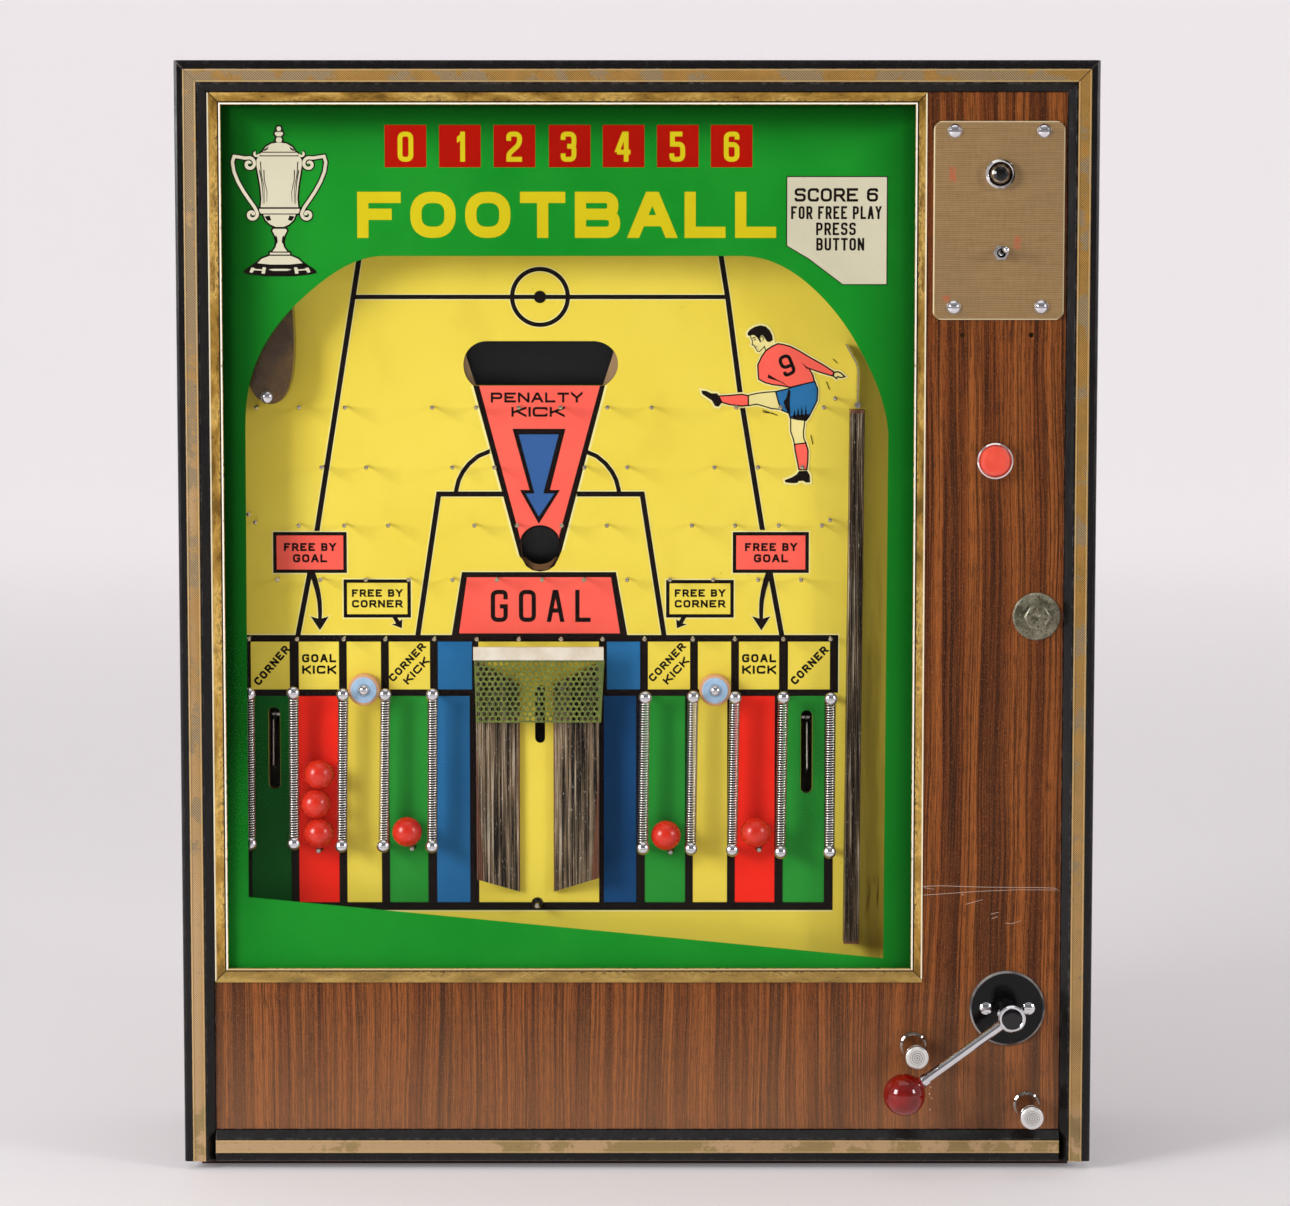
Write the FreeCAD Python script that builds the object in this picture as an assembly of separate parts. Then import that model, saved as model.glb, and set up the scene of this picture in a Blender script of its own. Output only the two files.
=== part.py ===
import FreeCAD, Part
import math
import os

os.makedirs("parts", exist_ok=True)

# Coin-operated wall pinball machine: a hinged front door that carries the whole game,
# closed onto a wooden carcase.  X is across, Z is up, the front faces -Y.
# The origin is the centre of the carcase underside.  Depths ("d") are counted in mm
# back from the front face of the door frame.

# ---- driving dimensions (mm) ----
TOTAL_D = 216.0
FRONT_Y = -TOTAL_D / 2

FRAME_W = 673.0
FRAME_H = 812.8
FRAME_Z0 = 6.5
FRAME_T = 23.2
FRAME_BACK_D = 22.0
HINGE_STILE_BACK_D = 18.7
REBATE_T = 12.0

CASE_X0 = -326.0
CASE_X1 = 322.0
CASE_H = 809.0
CASE_FRONT_D = 22.5
SIDE_T = 15.0
BACK_T = 12.0
WALL_HOLE_R = 3.25
WALL_SPAN_X = 520.0
WALL_SPAN_Z = 580.0
WALL_MID_Z = 410.0

PANEL_D = 8.0
BOARD_D0 = 9.0
BOARD_D1 = 21.0
TRIM_D0 = 6.6
TRIM_OUT = (-313.2, 211.2, 140.3, 796.0)
TRIM_IN = (-303.2, 202.6, 151.0, 787.2)
GLASS_BOX = (-309.0, 208.4, 145.6, 792.6)
GLASS_T = 4.0
MASK_T = 0.4
MASK_D = PANEL_D + GLASS_T
LIP_BOX = (-304.5, 203.9, 149.6, 788.6)

PLAY_D0 = 46.0
PLAY_D1 = 55.0
PLAY_X0 = -303.0
PLAY_X1 = 203.0
PLAY_Z0 = 118.0
PLAY_Z1 = 692.0
WELL_X0 = -293.5
WELL_X1 = 193.0
ARCH_TOP_Z = 681.5
ARCH_L_R = 118.5
ARCH_R_R = 125.0
RAIL_T = 0.8

BALL_R = 11.1
BALL_D = PLAY_D0 - BALL_R - 0.3
PIN_R = 1.8
PIN_TRAVEL = 14.0

POST_HEAD_R = 4.75
POST_D0 = 22.6
SPRING_R = 4.3
SPRING_D = 31.0
SPRING_PITCH = 1.1
NAIL_R = 0.9
NAIL_HEAD_R = 1.6
NAIL_D0 = 27.0

HINGE_X = -330.0
HINGE_D = 22.25
HINGE_R = 3.0
HINGE_PIN_R = 1.25

LEVER_X = 274.6
LEVER_Z = 120.9
LEVER_D = -30.0
ARM_R = 3.6
SHAFT_R = 6.0
KNOB_X = 196.3
KNOB_Z = 63.5
KNOB_R = 15.5
STOP_R = 8.5
STOPS = [(204.9, 93.2), (289.4, 48.4)]

RED_BTN = (262.1, 528.0)
BLACK_BTN = (264.2, 737.1)
TOGGLE = (265.2, 679.8)
TOGGLE_BUSH_R = 4.4
TOGGLE_NUT_AF = 10.0
LOCK = (293.8, 413.1)

PLATE_BOX = (216.0, 311.6, 631.0, 775.4)
PLATE_CORNER_R = 6.5
PLATE_SCREWS = [(231.3, 768.2), (296.3, 768.2), (231.3, 640.2), (295.3, 640.4)]

SCORE_Z = (741.9, 772.7)
SCORE_X = [-169.0, -129.3, -89.5, -49.2, -9.9, 29.6, 68.9]
SCORE_W = 30.4

# Each spring: top post (x, z), bottom post (x, z).
SPRINGS = [
    ((-288.1, 353.4), (-288.1, 241.2)),
    ((-255.4, 354.2), (-255.7, 241.2)),
    ((-218.6, 352.9), (-220.2, 239.4)),
    ((-187.2, 352.9), (-189.2, 239.4)),
    ((-152.0, 352.9), (-152.9, 239.1)),
    ((5.9, 350.7), (4.1, 237.8)),
    ((41.5, 351.2), (39.9, 237.3)),
    ((72.6, 350.7), (70.6, 236.3)),
    ((108.5, 350.7), (106.7, 234.8)),
    ((143.7, 349.8), (143.1, 235.0)),
]

NAIL_ROWS = [
    (565.8, [-281.2, -249.5, -215.6, -151.4, -118.9, -87.5, -56.7, -22.1, 10.5, 73.0, 105.7, 137.5]),
    (521.6, [-233.2, -200.1, -136.5, -105.5, -39.0, -7.4, 56.9, 89.2, 121.9]),
    (478.5, [-250.3, -216.7, -184.2, -120.5, -89.0, -56.0, -22.5, 40.3, 72.2, 104.6, 136.4]),
    (438.2, [-266.6, -234.6, -201.1, -169.4, -136.8, -103.9, -70.6, -39.5, -7.6, 24.2, 56.1, 89.4, 121.2]),
    (393.9, [-288.4, -252.4, -217.8, -186.9, -150.7, -119.2, -87.9, -56.6, -25.8, 5.3, 41.1, 72.4, 108.4,
             143.4]),
]
LOOSE_NAILS = [(145.9, 572.4), (-287.6, 486.9), (-282.5, 480.9), (142.4, 482.5)]

# Each slot: centre x, low z, high z.
SLOTS = [(-271.2, 279.5, 341.3), (126.4, 276.5, 339.0), (-73.2, 313.7, 359.3)]
SLOT_HALF_W = 4.2

RELEASE_PINS = [(-237.9, 234.7), (-168.2, 236.2), (24.7, 233.5), (90.8, 235.4), (-75.0, 193.1)]

MASK_LEFT = [(-287.6, 552.0), (-286.3, 572.2), (-282.5, 590.5), (-272.7, 613.0), (-254.2, 637.6),
             (-232.1, 657.6), (-210.6, 671.4), (-188.0, 677.5)]
MASK_RIGHT = [(75.2, 677.5), (104.4, 670.9), (130.1, 652.7), (152.2, 627.1), (169.2, 597.8),
              (179.6, 572.2), (184.3, 548.0)]


def V(x, d, z):
    return FreeCAD.Vector(x, FRONT_Y + d, z)


def box(x0, x1, d0, d1, z0, z1):
    return Part.makeBox(x1 - x0, d1 - d0, z1 - z0, V(x0, d0, z0))


def cyl(x, z, d0, d1, r):
    return Part.makeCylinder(r, d1 - d0, V(x, d0, z), FreeCAD.Vector(0, 1, 0))


def cyl_x(x0, x1, d, z, r):
    return Part.makeCylinder(r, x1 - x0, V(x0, d, z), FreeCAD.Vector(1, 0, 0))


def cyl_z(x, d, z0, z1, r):
    return Part.makeCylinder(r, z1 - z0, V(x, d, z0), FreeCAD.Vector(0, 0, 1))


def tube(x, z, d0, d1, r_out, r_in):
    return cyl(x, z, d0, d1, r_out).cut(cyl(x, z, d0 - 1, d1 + 1, r_in))


def poly_y(points, d0, d1):
    ring = [V(x, d0, z) for x, z in points]
    face = Part.Face(Part.makePolygon(ring + ring[:1]))
    return face.extrude(FreeCAD.Vector(0, d1 - d0, 0))


def poly_x(points, x0, x1):
    ring = [V(x0, d, z) for d, z in points]
    face = Part.Face(Part.makePolygon(ring + ring[:1]))
    return face.extrude(FreeCAD.Vector(x1 - x0, 0, 0))


def poly_z(points, z0, z1):
    ring = [V(x, d, z0) for x, d in points]
    face = Part.Face(Part.makePolygon(ring + ring[:1]))
    return face.extrude(FreeCAD.Vector(0, 0, z1 - z0))


def turned(x, z, profile):
    """Solid of revolution about the depth axis through (x, z); profile is (radius, depth)."""
    ring = [V(x + r, d, z) for r, d in profile]
    face = Part.Face(Part.makePolygon(ring + ring[:1]))
    return face.revolve(V(x, 0, z), FreeCAD.Vector(0, 1, 0), 360)


def dome(x, z, d_top, d_base, r, cut_r):
    """Shallow domed head with its flat seat at d_base and its crown at d_top."""
    rise = d_base - d_top
    big = (r * r + rise * rise) / (2 * rise)
    ball = Part.makeSphere(big, V(x, d_top + big, z))
    head = ball.common(cyl(x, z, d_top - 1, d_base, r))
    slot = box(x - r - 1, x + r + 1, d_top - 1, d_top + rise * 0.45, z - cut_r, z + cut_r)
    return head, slot


def rod(p0, p1, r):
    """Round bar between two (x, d, z) points."""
    a = V(*p0)
    b = V(*p1)
    return Part.makeCylinder(r, a.distanceToPoint(b), a, b - a)


def bent_wire(points, r):
    wire = rod(points[0], points[1], r)
    for a, b in zip(points[1:], points[2:]):
        wire = wire.fuse([rod(a, b, r), Part.makeSphere(r, V(*a))])
    return wire.removeSplitter()


def ring_box(outer, inner, d0, d1):
    hole = box(inner[0], inner[1], d0 - 1, d1 + 1, inner[2], inner[3])
    return box(outer[0], outer[1], d0, d1, outer[2], outer[3]).cut(hole)


def hexagon(x, z, d0, d1, across_flats):
    r = across_flats / math.sqrt(3)
    corners = [(x + r * math.cos(math.radians(60 * k)), z + r * math.sin(math.radians(60 * k)))
               for k in range(6)]
    return poly_y(corners, d0, d1)


def save(name, *solids):
    shape = solids[0] if len(solids) == 1 else Part.makeCompound(list(solids))
    shape.exportStep("parts/" + name + ".step")


# ---- door frame: mitred at the top, stiles running past the bottom rail ----
HALF_W = FRAME_W / 2
FRAME_Z1 = FRAME_Z0 + FRAME_H


def stick_profile(back):
    return [(0, back), (0, 3.2), (0.7, 1.7), (2.2, 1.0), (6.4, 1.0), (6.4, 2.2), (15.9, 2.2),
            (15.9, 1.2), (17.2, 1.2), (22.4, 6.0), (FRAME_T, 8.0), (REBATE_T, 8.0),
            (REBATE_T, back)]


INLAY = [(6.4, 2.2), (6.4, 0.5), (6.8, 0.0), (7.4, 0.0), (7.9, 0.6), (14.4, 0.6), (14.9, 0.0),
         (15.5, 0.0), (15.9, 0.5), (15.9, 2.2)]


def left_stick(profile):
    bar = poly_z([(-HALF_W + t, d) for t, d in profile], FRAME_Z0, FRAME_Z1)
    reach = FRAME_T + 1
    corner = [(-HALF_W - 1, FRAME_Z1 + 1), (-HALF_W + reach, FRAME_Z1 + 1),
              (-HALF_W + reach, FRAME_Z1 - reach), (-HALF_W - 1, FRAME_Z1 + 1)]
    return bar.cut(poly_y(corner[:3], -2, 30))


def mirrored(shape):
    return shape.mirror(FreeCAD.Vector(0, 0, 0), FreeCAD.Vector(1, 0, 0))


MITRE_GAP = 0.7


def top_stick(profile):
    bar = poly_x([(d, FRAME_Z1 - t) for t, d in profile], -HALF_W, HALF_W)
    reach = FRAME_T + 1
    left = poly_y([(-HALF_W - 1 + MITRE_GAP, FRAME_Z1 + 1), (-HALF_W + reach + MITRE_GAP, FRAME_Z1 - reach),
                   (-HALF_W - 1, FRAME_Z1 - reach), (-HALF_W - 1, FRAME_Z1 + 1)], -2, 30)
    return bar.cut([left, mirrored(left)])


def bottom_stick(profile):
    return poly_x([(d, FRAME_Z0 + t) for t, d in profile], -HALF_W + FRAME_T, HALF_W - FRAME_T)


def bottom_rebate_ends():
    """Tongues of the bottom rail that run behind the stile lips down to the board edge."""
    left = box(-HALF_W + REBATE_T, -HALF_W + FRAME_T, 8.0, FRAME_BACK_D, FRAME_Z0, FRAME_Z0 + REBATE_T)
    return [left, mirrored(left)]


save("frame_stiles", left_stick(stick_profile(HINGE_STILE_BACK_D)),
     mirrored(left_stick(stick_profile(FRAME_BACK_D))))
save("frame_rails", top_stick(stick_profile(FRAME_BACK_D)),
     bottom_stick(stick_profile(FRAME_BACK_D)).fuse(bottom_rebate_ends()).removeSplitter())
save("frame_gold_inlay", left_stick(INLAY), mirrored(left_stick(INLAY)), top_stick(INLAY),
     bottom_stick(INLAY))

# ---- door board, laminate, window trim, glass and mask ----
EDGE = HALF_W - REBATE_T - 0.2
BOARD_BOX = (-EDGE, EDGE, FRAME_Z0 + REBATE_T + 0.2, FRAME_Z1 - REBATE_T - 0.2)
POCKET = (GLASS_BOX[0] - 0.3, GLASS_BOX[1] + 0.3, GLASS_BOX[2] - 0.3, GLASS_BOX[3] + 0.3)
CONTROL_HOLES = [
    cyl(LEVER_X, LEVER_Z, 0, 30, 9.0),
    cyl(RED_BTN[0], RED_BTN[1], 0, 30, 10.0),
    cyl(LOCK[0], LOCK[1], 0, 30, 5.2),
    cyl(BLACK_BTN[0], BLACK_BTN[1], 0, 30, 8.0),
    cyl(TOGGLE[0], TOGGLE[1], 0, 30, TOGGLE_BUSH_R),
]
STOP_HOLES = [cyl(x, z, 0, 30, 4.0) for x, z in STOPS]
SCREW_HOLES = [cyl(238.0, 619.9, 0, 14, 1.9), cyl(288.1, 619.9, 0, 14, 1.9)]

board = ring_box(BOARD_BOX, LIP_BOX, BOARD_D0, BOARD_D1)
board = board.cut([box(POCKET[0], POCKET[1], 0, MASK_D + MASK_T, POCKET[2], POCKET[3])]
                  + CONTROL_HOLES + STOP_HOLES + SCREW_HOLES)
save("door_board", board)
save("panel_laminate", ring_box(BOARD_BOX, POCKET, PANEL_D, BOARD_D0).cut(
    CONTROL_HOLES + STOP_HOLES + SCREW_HOLES))


OX0, OX1, OZ0, OZ1 = TRIM_OUT
IX0, IX1, IZ0, IZ1 = TRIM_IN
BEAD_OUT = (IX0 - 2.0, IX1 + 2.0, IZ0 - 2.0, IZ1 + 2.0)
bead = ring_box(BEAD_OUT, TRIM_IN, TRIM_D0 - 0.5, PANEL_D)
corners = [
    [(OX0, OZ0), (OX0, OZ1), (IX0, IZ1), (IX0, IZ0)],
    [(OX1, OZ0), (OX1, OZ1), (IX1, IZ1), (IX1, IZ0)],
    [(OX0, OZ1), (OX1, OZ1), (IX1, IZ1), (IX0, IZ1)],
    [(OX0, OZ0), (OX1, OZ0), (IX1, IZ0), (IX0, IZ0)],
]
save("window_trim", *[poly_y(c, TRIM_D0, PANEL_D).fuse(bead.common(poly_y(c, 0, PANEL_D))).removeSplitter()
                      for c in corners])

save("window_glass", box(GLASS_BOX[0], GLASS_BOX[1], PANEL_D, MASK_D, GLASS_BOX[2], GLASS_BOX[3]))


def spline(points):
    curve = Part.BSplineCurve()
    curve.interpolate([V(x, 0, z) for x, z in points])
    return curve.toShape()


def line(a, b):
    return Part.LineSegment(V(a[0], 0, a[1]), V(b[0], 0, b[1])).toShape()


def slab(edges, d0, d1):
    """A plate between two depths with a closed outline of edges."""
    solid = Part.Face(Part.Wire(edges)).extrude(FreeCAD.Vector(0, d1 - d0, 0))
    solid.translate(FreeCAD.Vector(0, d0, 0))
    return solid


LOW_LEFT = (-288.3, 203.4)
LOW_RIGHT = (182.6, 157.5)
opening = Part.Wire([
    line(LOW_LEFT, MASK_LEFT[0]),
    spline(MASK_LEFT),
    line(MASK_LEFT[-1], MASK_RIGHT[0]),
    spline(MASK_RIGHT),
    line(MASK_RIGHT[-1], LOW_RIGHT),
    line(LOW_RIGHT, LOW_LEFT),
])
opening = Part.Face(opening).extrude(FreeCAD.Vector(0, 40, 0))
score_holes = [box(x - SCORE_W / 2, x + SCORE_W / 2, 0, 40, SCORE_Z[0], SCORE_Z[1]) for x in SCORE_X]
mask = box(GLASS_BOX[0], GLASS_BOX[1], MASK_D, MASK_D + MASK_T, GLASS_BOX[2], GLASS_BOX[3])
save("glass_mask", mask.cut([opening] + score_holes))
save("score_windows", *[box(x - SCORE_W / 2, x + SCORE_W / 2, MASK_D, MASK_D + 1.2,
                            SCORE_Z[0], SCORE_Z[1]) for x in SCORE_X])

# ---- score lamps ----
LAMP_Z0 = SCORE_Z[0] - 4
LAMP_Z1 = SCORE_Z[1] + 4
LAMP_D1 = 58.0
lamp_box = box(SCORE_X[0] - 21, SCORE_X[-1] + 21, MASK_D + 1.6, LAMP_D1, LAMP_Z0, LAMP_Z1)
cells = [box(x - 17.5, x + 17.5, 0, LAMP_D1 - 4, LAMP_Z0 + 3, LAMP_Z1 - 3) for x in SCORE_X]
sockets = [cyl(x, (LAMP_Z0 + LAMP_Z1) / 2, 40, 80, 5.0) for x in SCORE_X]
save("lamp_box", lamp_box.cut(cells + sockets))


def lamp(x):
    z = (LAMP_Z0 + LAMP_Z1) / 2
    bulb = Part.makeSphere(5.5, V(x, 36, z))
    body = turned(x, z, [(0, 34), (5.2, 36), (4.4, 43), (4.9, 43), (4.9, 60), (3, 63), (0, 63)])
    return bulb.fuse(body).removeSplitter()


save("score_lamps", *[lamp(x) for x in SCORE_X])

# ---- playfield board ----
play = box(PLAY_X0, PLAY_X1, PLAY_D0, PLAY_D1, PLAY_Z0, PLAY_Z1)
cuts = []
for x, z0, z1 in SLOTS:
    cuts.append(box(x - SLOT_HALF_W, x + SLOT_HALF_W, PLAY_D0 - 1, PLAY_D1 + 1,
                    z0 + SLOT_HALF_W, z1 - SLOT_HALF_W))
    cuts.append(cyl(x, z0 + SLOT_HALF_W, PLAY_D0 - 1, PLAY_D1 + 1, SLOT_HALF_W))
    cuts.append(cyl(x, z1 - SLOT_HALF_W, PLAY_D0 - 1, PLAY_D1 + 1, SLOT_HALF_W))
for x, z in RELEASE_PINS[:-1]:
    cuts.append(cyl(x, z, PLAY_D0 - 1, PLAY_D1 + 1, 2.6))
cuts.append(cyl(RELEASE_PINS[-1][0], RELEASE_PINS[-1][1], PLAY_D0 - 1, PLAY_D1 + 1, 3.8))
WINDOW_LEFT = [(-121.6, 581.4), (-125.6, 585.6), (-128.2, 591.5), (-128.8, 598.0), (-127.2, 604.4),
               (-123.2, 609.8), (-117.4, 613.2), (-110.0, 614.2)]
WINDOW_RIGHT = [(-34.0, 614.2), (-26.4, 613.2), (-20.2, 609.8), (-15.8, 604.2), (-14.2, 597.6),
                (-15.4, 591.2), (-18.8, 585.8), (-24.0, 581.4)]
cuts.append(slab([spline(WINDOW_LEFT), line(WINDOW_LEFT[-1], WINDOW_RIGHT[0]), spline(WINDOW_RIGHT),
                  line(WINDOW_RIGHT[-1], WINDOW_LEFT[0])], PLAY_D0 - 1, PLAY_D1 + 1))
HOLE = (-72.3, 461.9)
HOLE_R = 14.2
cuts.append(cyl(HOLE[0], HOLE[1], PLAY_D0 - 1, PLAY_D1 + 1, HOLE_R))
CHUTE = [(-86.5, 461.9), (-85.8, 452.5), (-82.8, 447.0), (-78.2, 443.9), (-72.3, 442.8),
         (-66.4, 443.9), (-61.8, 447.0), (-58.8, 452.5), (-58.1, 461.9)]
chute = poly_x([(PLAY_D0 - 1, 442.0), (PLAY_D1 + 1, 454.0), (PLAY_D1 + 1, 463.0), (PLAY_D0 - 1, 463.0)],
               HOLE[0] - HOLE_R - 1, HOLE[0] + HOLE_R + 1)
cuts.append(chute.common(poly_y(CHUTE, PLAY_D0 - 2, PLAY_D1 + 2)))
save("playfield_board", play.cut(cuts))

# ---- battens between the door board and the playfield ----
L_CENTRE = (WELL_X0 + ARCH_L_R, ARCH_TOP_Z - ARCH_L_R)
R_CENTRE = (WELL_X1 - ARCH_R_R, ARCH_TOP_Z - ARCH_R_R)
BATTEN_D0 = BOARD_D1 + 0.2
left_batten = box(PLAY_X0, WELL_X0 - RAIL_T, BATTEN_D0, PLAY_D0, PLAY_Z0, L_CENTRE[1])
right_batten = box(WELL_X1 + RAIL_T, PLAY_X1, BATTEN_D0, PLAY_D0, 136.0, R_CENTRE[1])
left_spandrel = box(PLAY_X0, L_CENTRE[0], BATTEN_D0, PLAY_D0, L_CENTRE[1], PLAY_Z1).cut(
    cyl(L_CENTRE[0], L_CENTRE[1], 0, 60, ARCH_L_R + RAIL_T))
right_spandrel = box(R_CENTRE[0], PLAY_X1, BATTEN_D0, PLAY_D0, R_CENTRE[1], PLAY_Z1).cut(
    cyl(R_CENTRE[0], R_CENTRE[1], 0, 60, ARCH_R_R + RAIL_T))
top_batten = box(L_CENTRE[0], R_CENTRE[0], BATTEN_D0, PLAY_D0, ARCH_TOP_Z + RAIL_T, PLAY_Z1)
save("playfield_battens", left_batten, right_batten, left_spandrel, right_spandrel, top_batten)


def arch_face(grow, low_z):
    """Outline of the ball well grown outwards by the given amount."""
    x0 = WELL_X0 - grow
    x1 = WELL_X1 + grow
    top = ARCH_TOP_Z + grow
    low = low_z
    body = box(x0, x1, BATTEN_D0, PLAY_D0, low, R_CENTRE[1])
    middle = box(L_CENTRE[0], R_CENTRE[0], BATTEN_D0, PLAY_D0, R_CENTRE[1], top)
    left = cyl(L_CENTRE[0], L_CENTRE[1], BATTEN_D0, PLAY_D0, ARCH_L_R + grow)
    left = left.common(box(x0 - 1, L_CENTRE[0], 0, 60, L_CENTRE[1], top + 1))
    left_low = box(x0, L_CENTRE[0], BATTEN_D0, PLAY_D0, R_CENTRE[1], L_CENTRE[1])
    right = cyl(R_CENTRE[0], R_CENTRE[1], BATTEN_D0, PLAY_D0, ARCH_R_R + grow)
    right = right.common(box(R_CENTRE[0], x1 + 1, 0, 60, R_CENTRE[1], top + 1))
    return body.fuse([middle, left, left_low, right]).removeSplitter()


save("arch_rail", arch_face(RAIL_T, 180.0).cut(arch_face(0, 170.0)))

# ---- ball return rail and shooter lane seat ----
rail = poly_y([(WELL_X0 + 0.3, 179.0), (159.0, 134.2), (159.0, 124.2), (WELL_X0 + 0.3, 169.0)],
              BATTEN_D0, PLAY_D0)
seat = [box(159.0, 193.0, BATTEN_D0, 28.0, 127.2, 134.2), box(159.0, 193.0, 41.2, PLAY_D0, 127.2, 134.2)]
save("return_rail", rail.fuse(seat).removeSplitter())

# ---- pins, posts, springs ----


def nail(x, z):
    return turned(x, z, [(0, NAIL_D0), (NAIL_HEAD_R * 0.55, NAIL_D0 + 0.2), (NAIL_HEAD_R, NAIL_D0 + 0.9),
                         (NAIL_HEAD_R, NAIL_D0 + 1.3), (NAIL_R, NAIL_D0 + 1.9), (NAIL_R, PLAY_D0), (0, PLAY_D0)])


nails = [nail(x, z) for z, row in NAIL_ROWS for x in row]
save("playfield_nails", *(nails + [nail(x, z) for x, z in LOOSE_NAILS]))


def post(x, z):
    head, slot = dome(x, z, POST_D0, POST_D0 + 2.6, POST_HEAD_R, 0.6)
    waist = turned(x, z, [(0, POST_D0 + 2.6), (POST_HEAD_R, POST_D0 + 2.6), (POST_HEAD_R, POST_D0 + 3.2),
                          (2.2, POST_D0 + 4.2), (2.2, PLAY_D0), (0, PLAY_D0)])
    return head.cut(slot).fuse(waist).removeSplitter()


save("spring_posts", *[post(x, z) for pair in SPRINGS for x, z in pair])


def lane_spring(top, bottom):
    length = math.dist(top, bottom) - 2 * POST_HEAD_R + 4.0
    turns = int(length / SPRING_PITCH)
    pitch = length / turns
    profile = [(0, 0), (SPRING_R - 0.45, 0)]
    for k in range(turns):
        profile.append((SPRING_R, (k + 0.5) * pitch))
        profile.append((SPRING_R - 0.45, (k + 1) * pitch))
    profile.append((0, length))
    ring = [FreeCAD.Vector(r, 0, h) for r, h in profile]
    face = Part.Face(Part.makePolygon(ring + ring[:1]))
    coil = face.revolve(FreeCAD.Vector(0, 0, 0), FreeCAD.Vector(0, 0, 1), 360)
    tilt = math.degrees(math.atan2(top[0] - bottom[0], top[1] - bottom[1]))
    coil.translate(FreeCAD.Vector(0, 0, -length / 2))
    coil.rotate(FreeCAD.Vector(0, 0, 0), FreeCAD.Vector(0, 1, 0), tilt)
    coil.translate(V((top[0] + bottom[0]) / 2, SPRING_D, (top[1] + bottom[1]) / 2))
    return coil


save("lane_springs", *[lane_spring(top, bottom).cut([cyl(top[0], top[1], 0, 60, 2.25),
                                                     cyl(bottom[0], bottom[1], 0, 60, 2.25)])
                       for top, bottom in SPRINGS])

# ---- rebound pad, bumpers, goal ----
PAD_EDGE = [(-254.0, 650.0), (-252.9, 625.0), (-252.6, 613.3), (-253.2, 599.8), (-254.5, 588.8),
            (-256.5, 581.4), (-259.6, 574.6), (-264.0, 570.2), (-269.5, 568.6), (-275.5, 569.8),
            (-280.2, 573.4), (-284.6, 580.2), (-290.0, 592.0)]
pad = slab([spline(PAD_EDGE), line(PAD_EDGE[-1], (-296.0, 606.0)), line((-296.0, 606.0), (-296.0, 650.0)),
            line((-296.0, 650.0), PAD_EDGE[0])], 25.0, PLAY_D0)
pad = pad.common(cyl(L_CENTRE[0], L_CENTRE[1], 0, 60, ARCH_L_R - 0.3))
pad_head, pad_slot = dome(-273.2, 573.6, 22.6, 24.9, 4.6, 0.6)
save("rebound_pad", pad)

BUMPERS = [(-203.4, 355.5), (57.8, 355.2)]


def bumper(x, z):
    return turned(x, z, [(0, 32.0), (9.3, 32.0), (9.7, 32.4), (9.7, 33.0), (10.9, 33.0), (11.7, 34.0),
                         (11.7, 44.6), (10.9, 46.0), (0, 46.0)])


save("bumpers", *[bumper(x, z) for x, z in BUMPERS])


def screw(x, z, d_top, d_base, r, half_slot):
    head, slot = dome(x, z, d_top, d_base, r, half_slot)
    return head.cut(slot)


PLAY_SCREWS = [screw(x, z, 28.6, 31.9, 4.4, 0.7) for x, z in BUMPERS] + [pad_head.cut(pad_slot)]

save("goal_crossbar", box(-121.6, -25.0, 25.0, 28.0, 378.7, 388.4))
net = poly_y([(-121.0, 378.4), (-24.4, 378.4), (-27.0, 332.0), (-119.8, 332.0)], 27.0, 28.0)
holes = []
for row in range(12):
    z = 375.6 - row * 3.72
    shift = 2.15 if row % 2 else 0.0
    for col in range(22):
        x = -118.2 + shift + col * 4.3
        if x < -29.0:
            holes.append(cyl(x, z, 26, 29, 1.5))
save("goal_net", net.cut(holes))
# Each block is a wedge: high at its outer side, and low beside the lane between the two.
BLOCK_HIGH_D = 28.6
BLOCK_LOW_D = 41.0


def goal_block(outline, x_outer, x_inner):
    section = poly_z([(x_outer, BLOCK_HIGH_D), (x_inner, BLOCK_LOW_D), (x_inner, PLAY_D0), (x_outer, PLAY_D0)],
                     200.0, 380.0)
    return poly_y(outline, BLOCK_HIGH_D, PLAY_D0).common(section)


left_block = goal_block([(-120.2, 378.2), (-87.9, 358.6), (-87.9, 202.3), (-119.8, 213.6)], -120.2, -87.9)
right_block = goal_block([(-28.5, 376.0), (-62.8, 358.6), (-62.8, 202.3), (-28.5, 214.6)], -28.5, -62.8)
save("goal_blocks", left_block, right_block)

# ---- shooter lane divider with the pivot of the return gate ----
GATE = (162.4, 567.6)
divider = poly_y([(157.0, 564.2), (168.0, 564.2), (165.5, 165.4), (153.7, 165.4)], 26.0, PLAY_D0)
gate_pin = cyl(GATE[0], GATE[1], 22.8, PLAY_D0, 1.0)
save("lane_divider", divider.fuse(box(161.4, 163.4, 44.9, PLAY_D0, 564.0, GATE[1])).removeSplitter(),
     gate_pin.cut(box(161.3, 163.5, 44.9, PLAY_D0 + 1, 564.0, GATE[1] + 2)))

leaf_line = [(162.8, 569.2), (163.0, 582.0), (163.3, 592.5), (162.9, 596.0), (161.6, 599.2), (154.4, 612.3)]
leaf_back = [(x - 0.8, z - 0.2) for x, z in reversed(leaf_line)]
leaf = poly_y(leaf_line + leaf_back, 24.4, 44.4)
barrel = tube(GATE[0], GATE[1], 24.4, 44.4, 2.2, 1.06)
save("gate_leaf", leaf.cut(cyl(GATE[0], GATE[1], 20, 50, 1.06)).fuse(barrel).removeSplitter())

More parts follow.
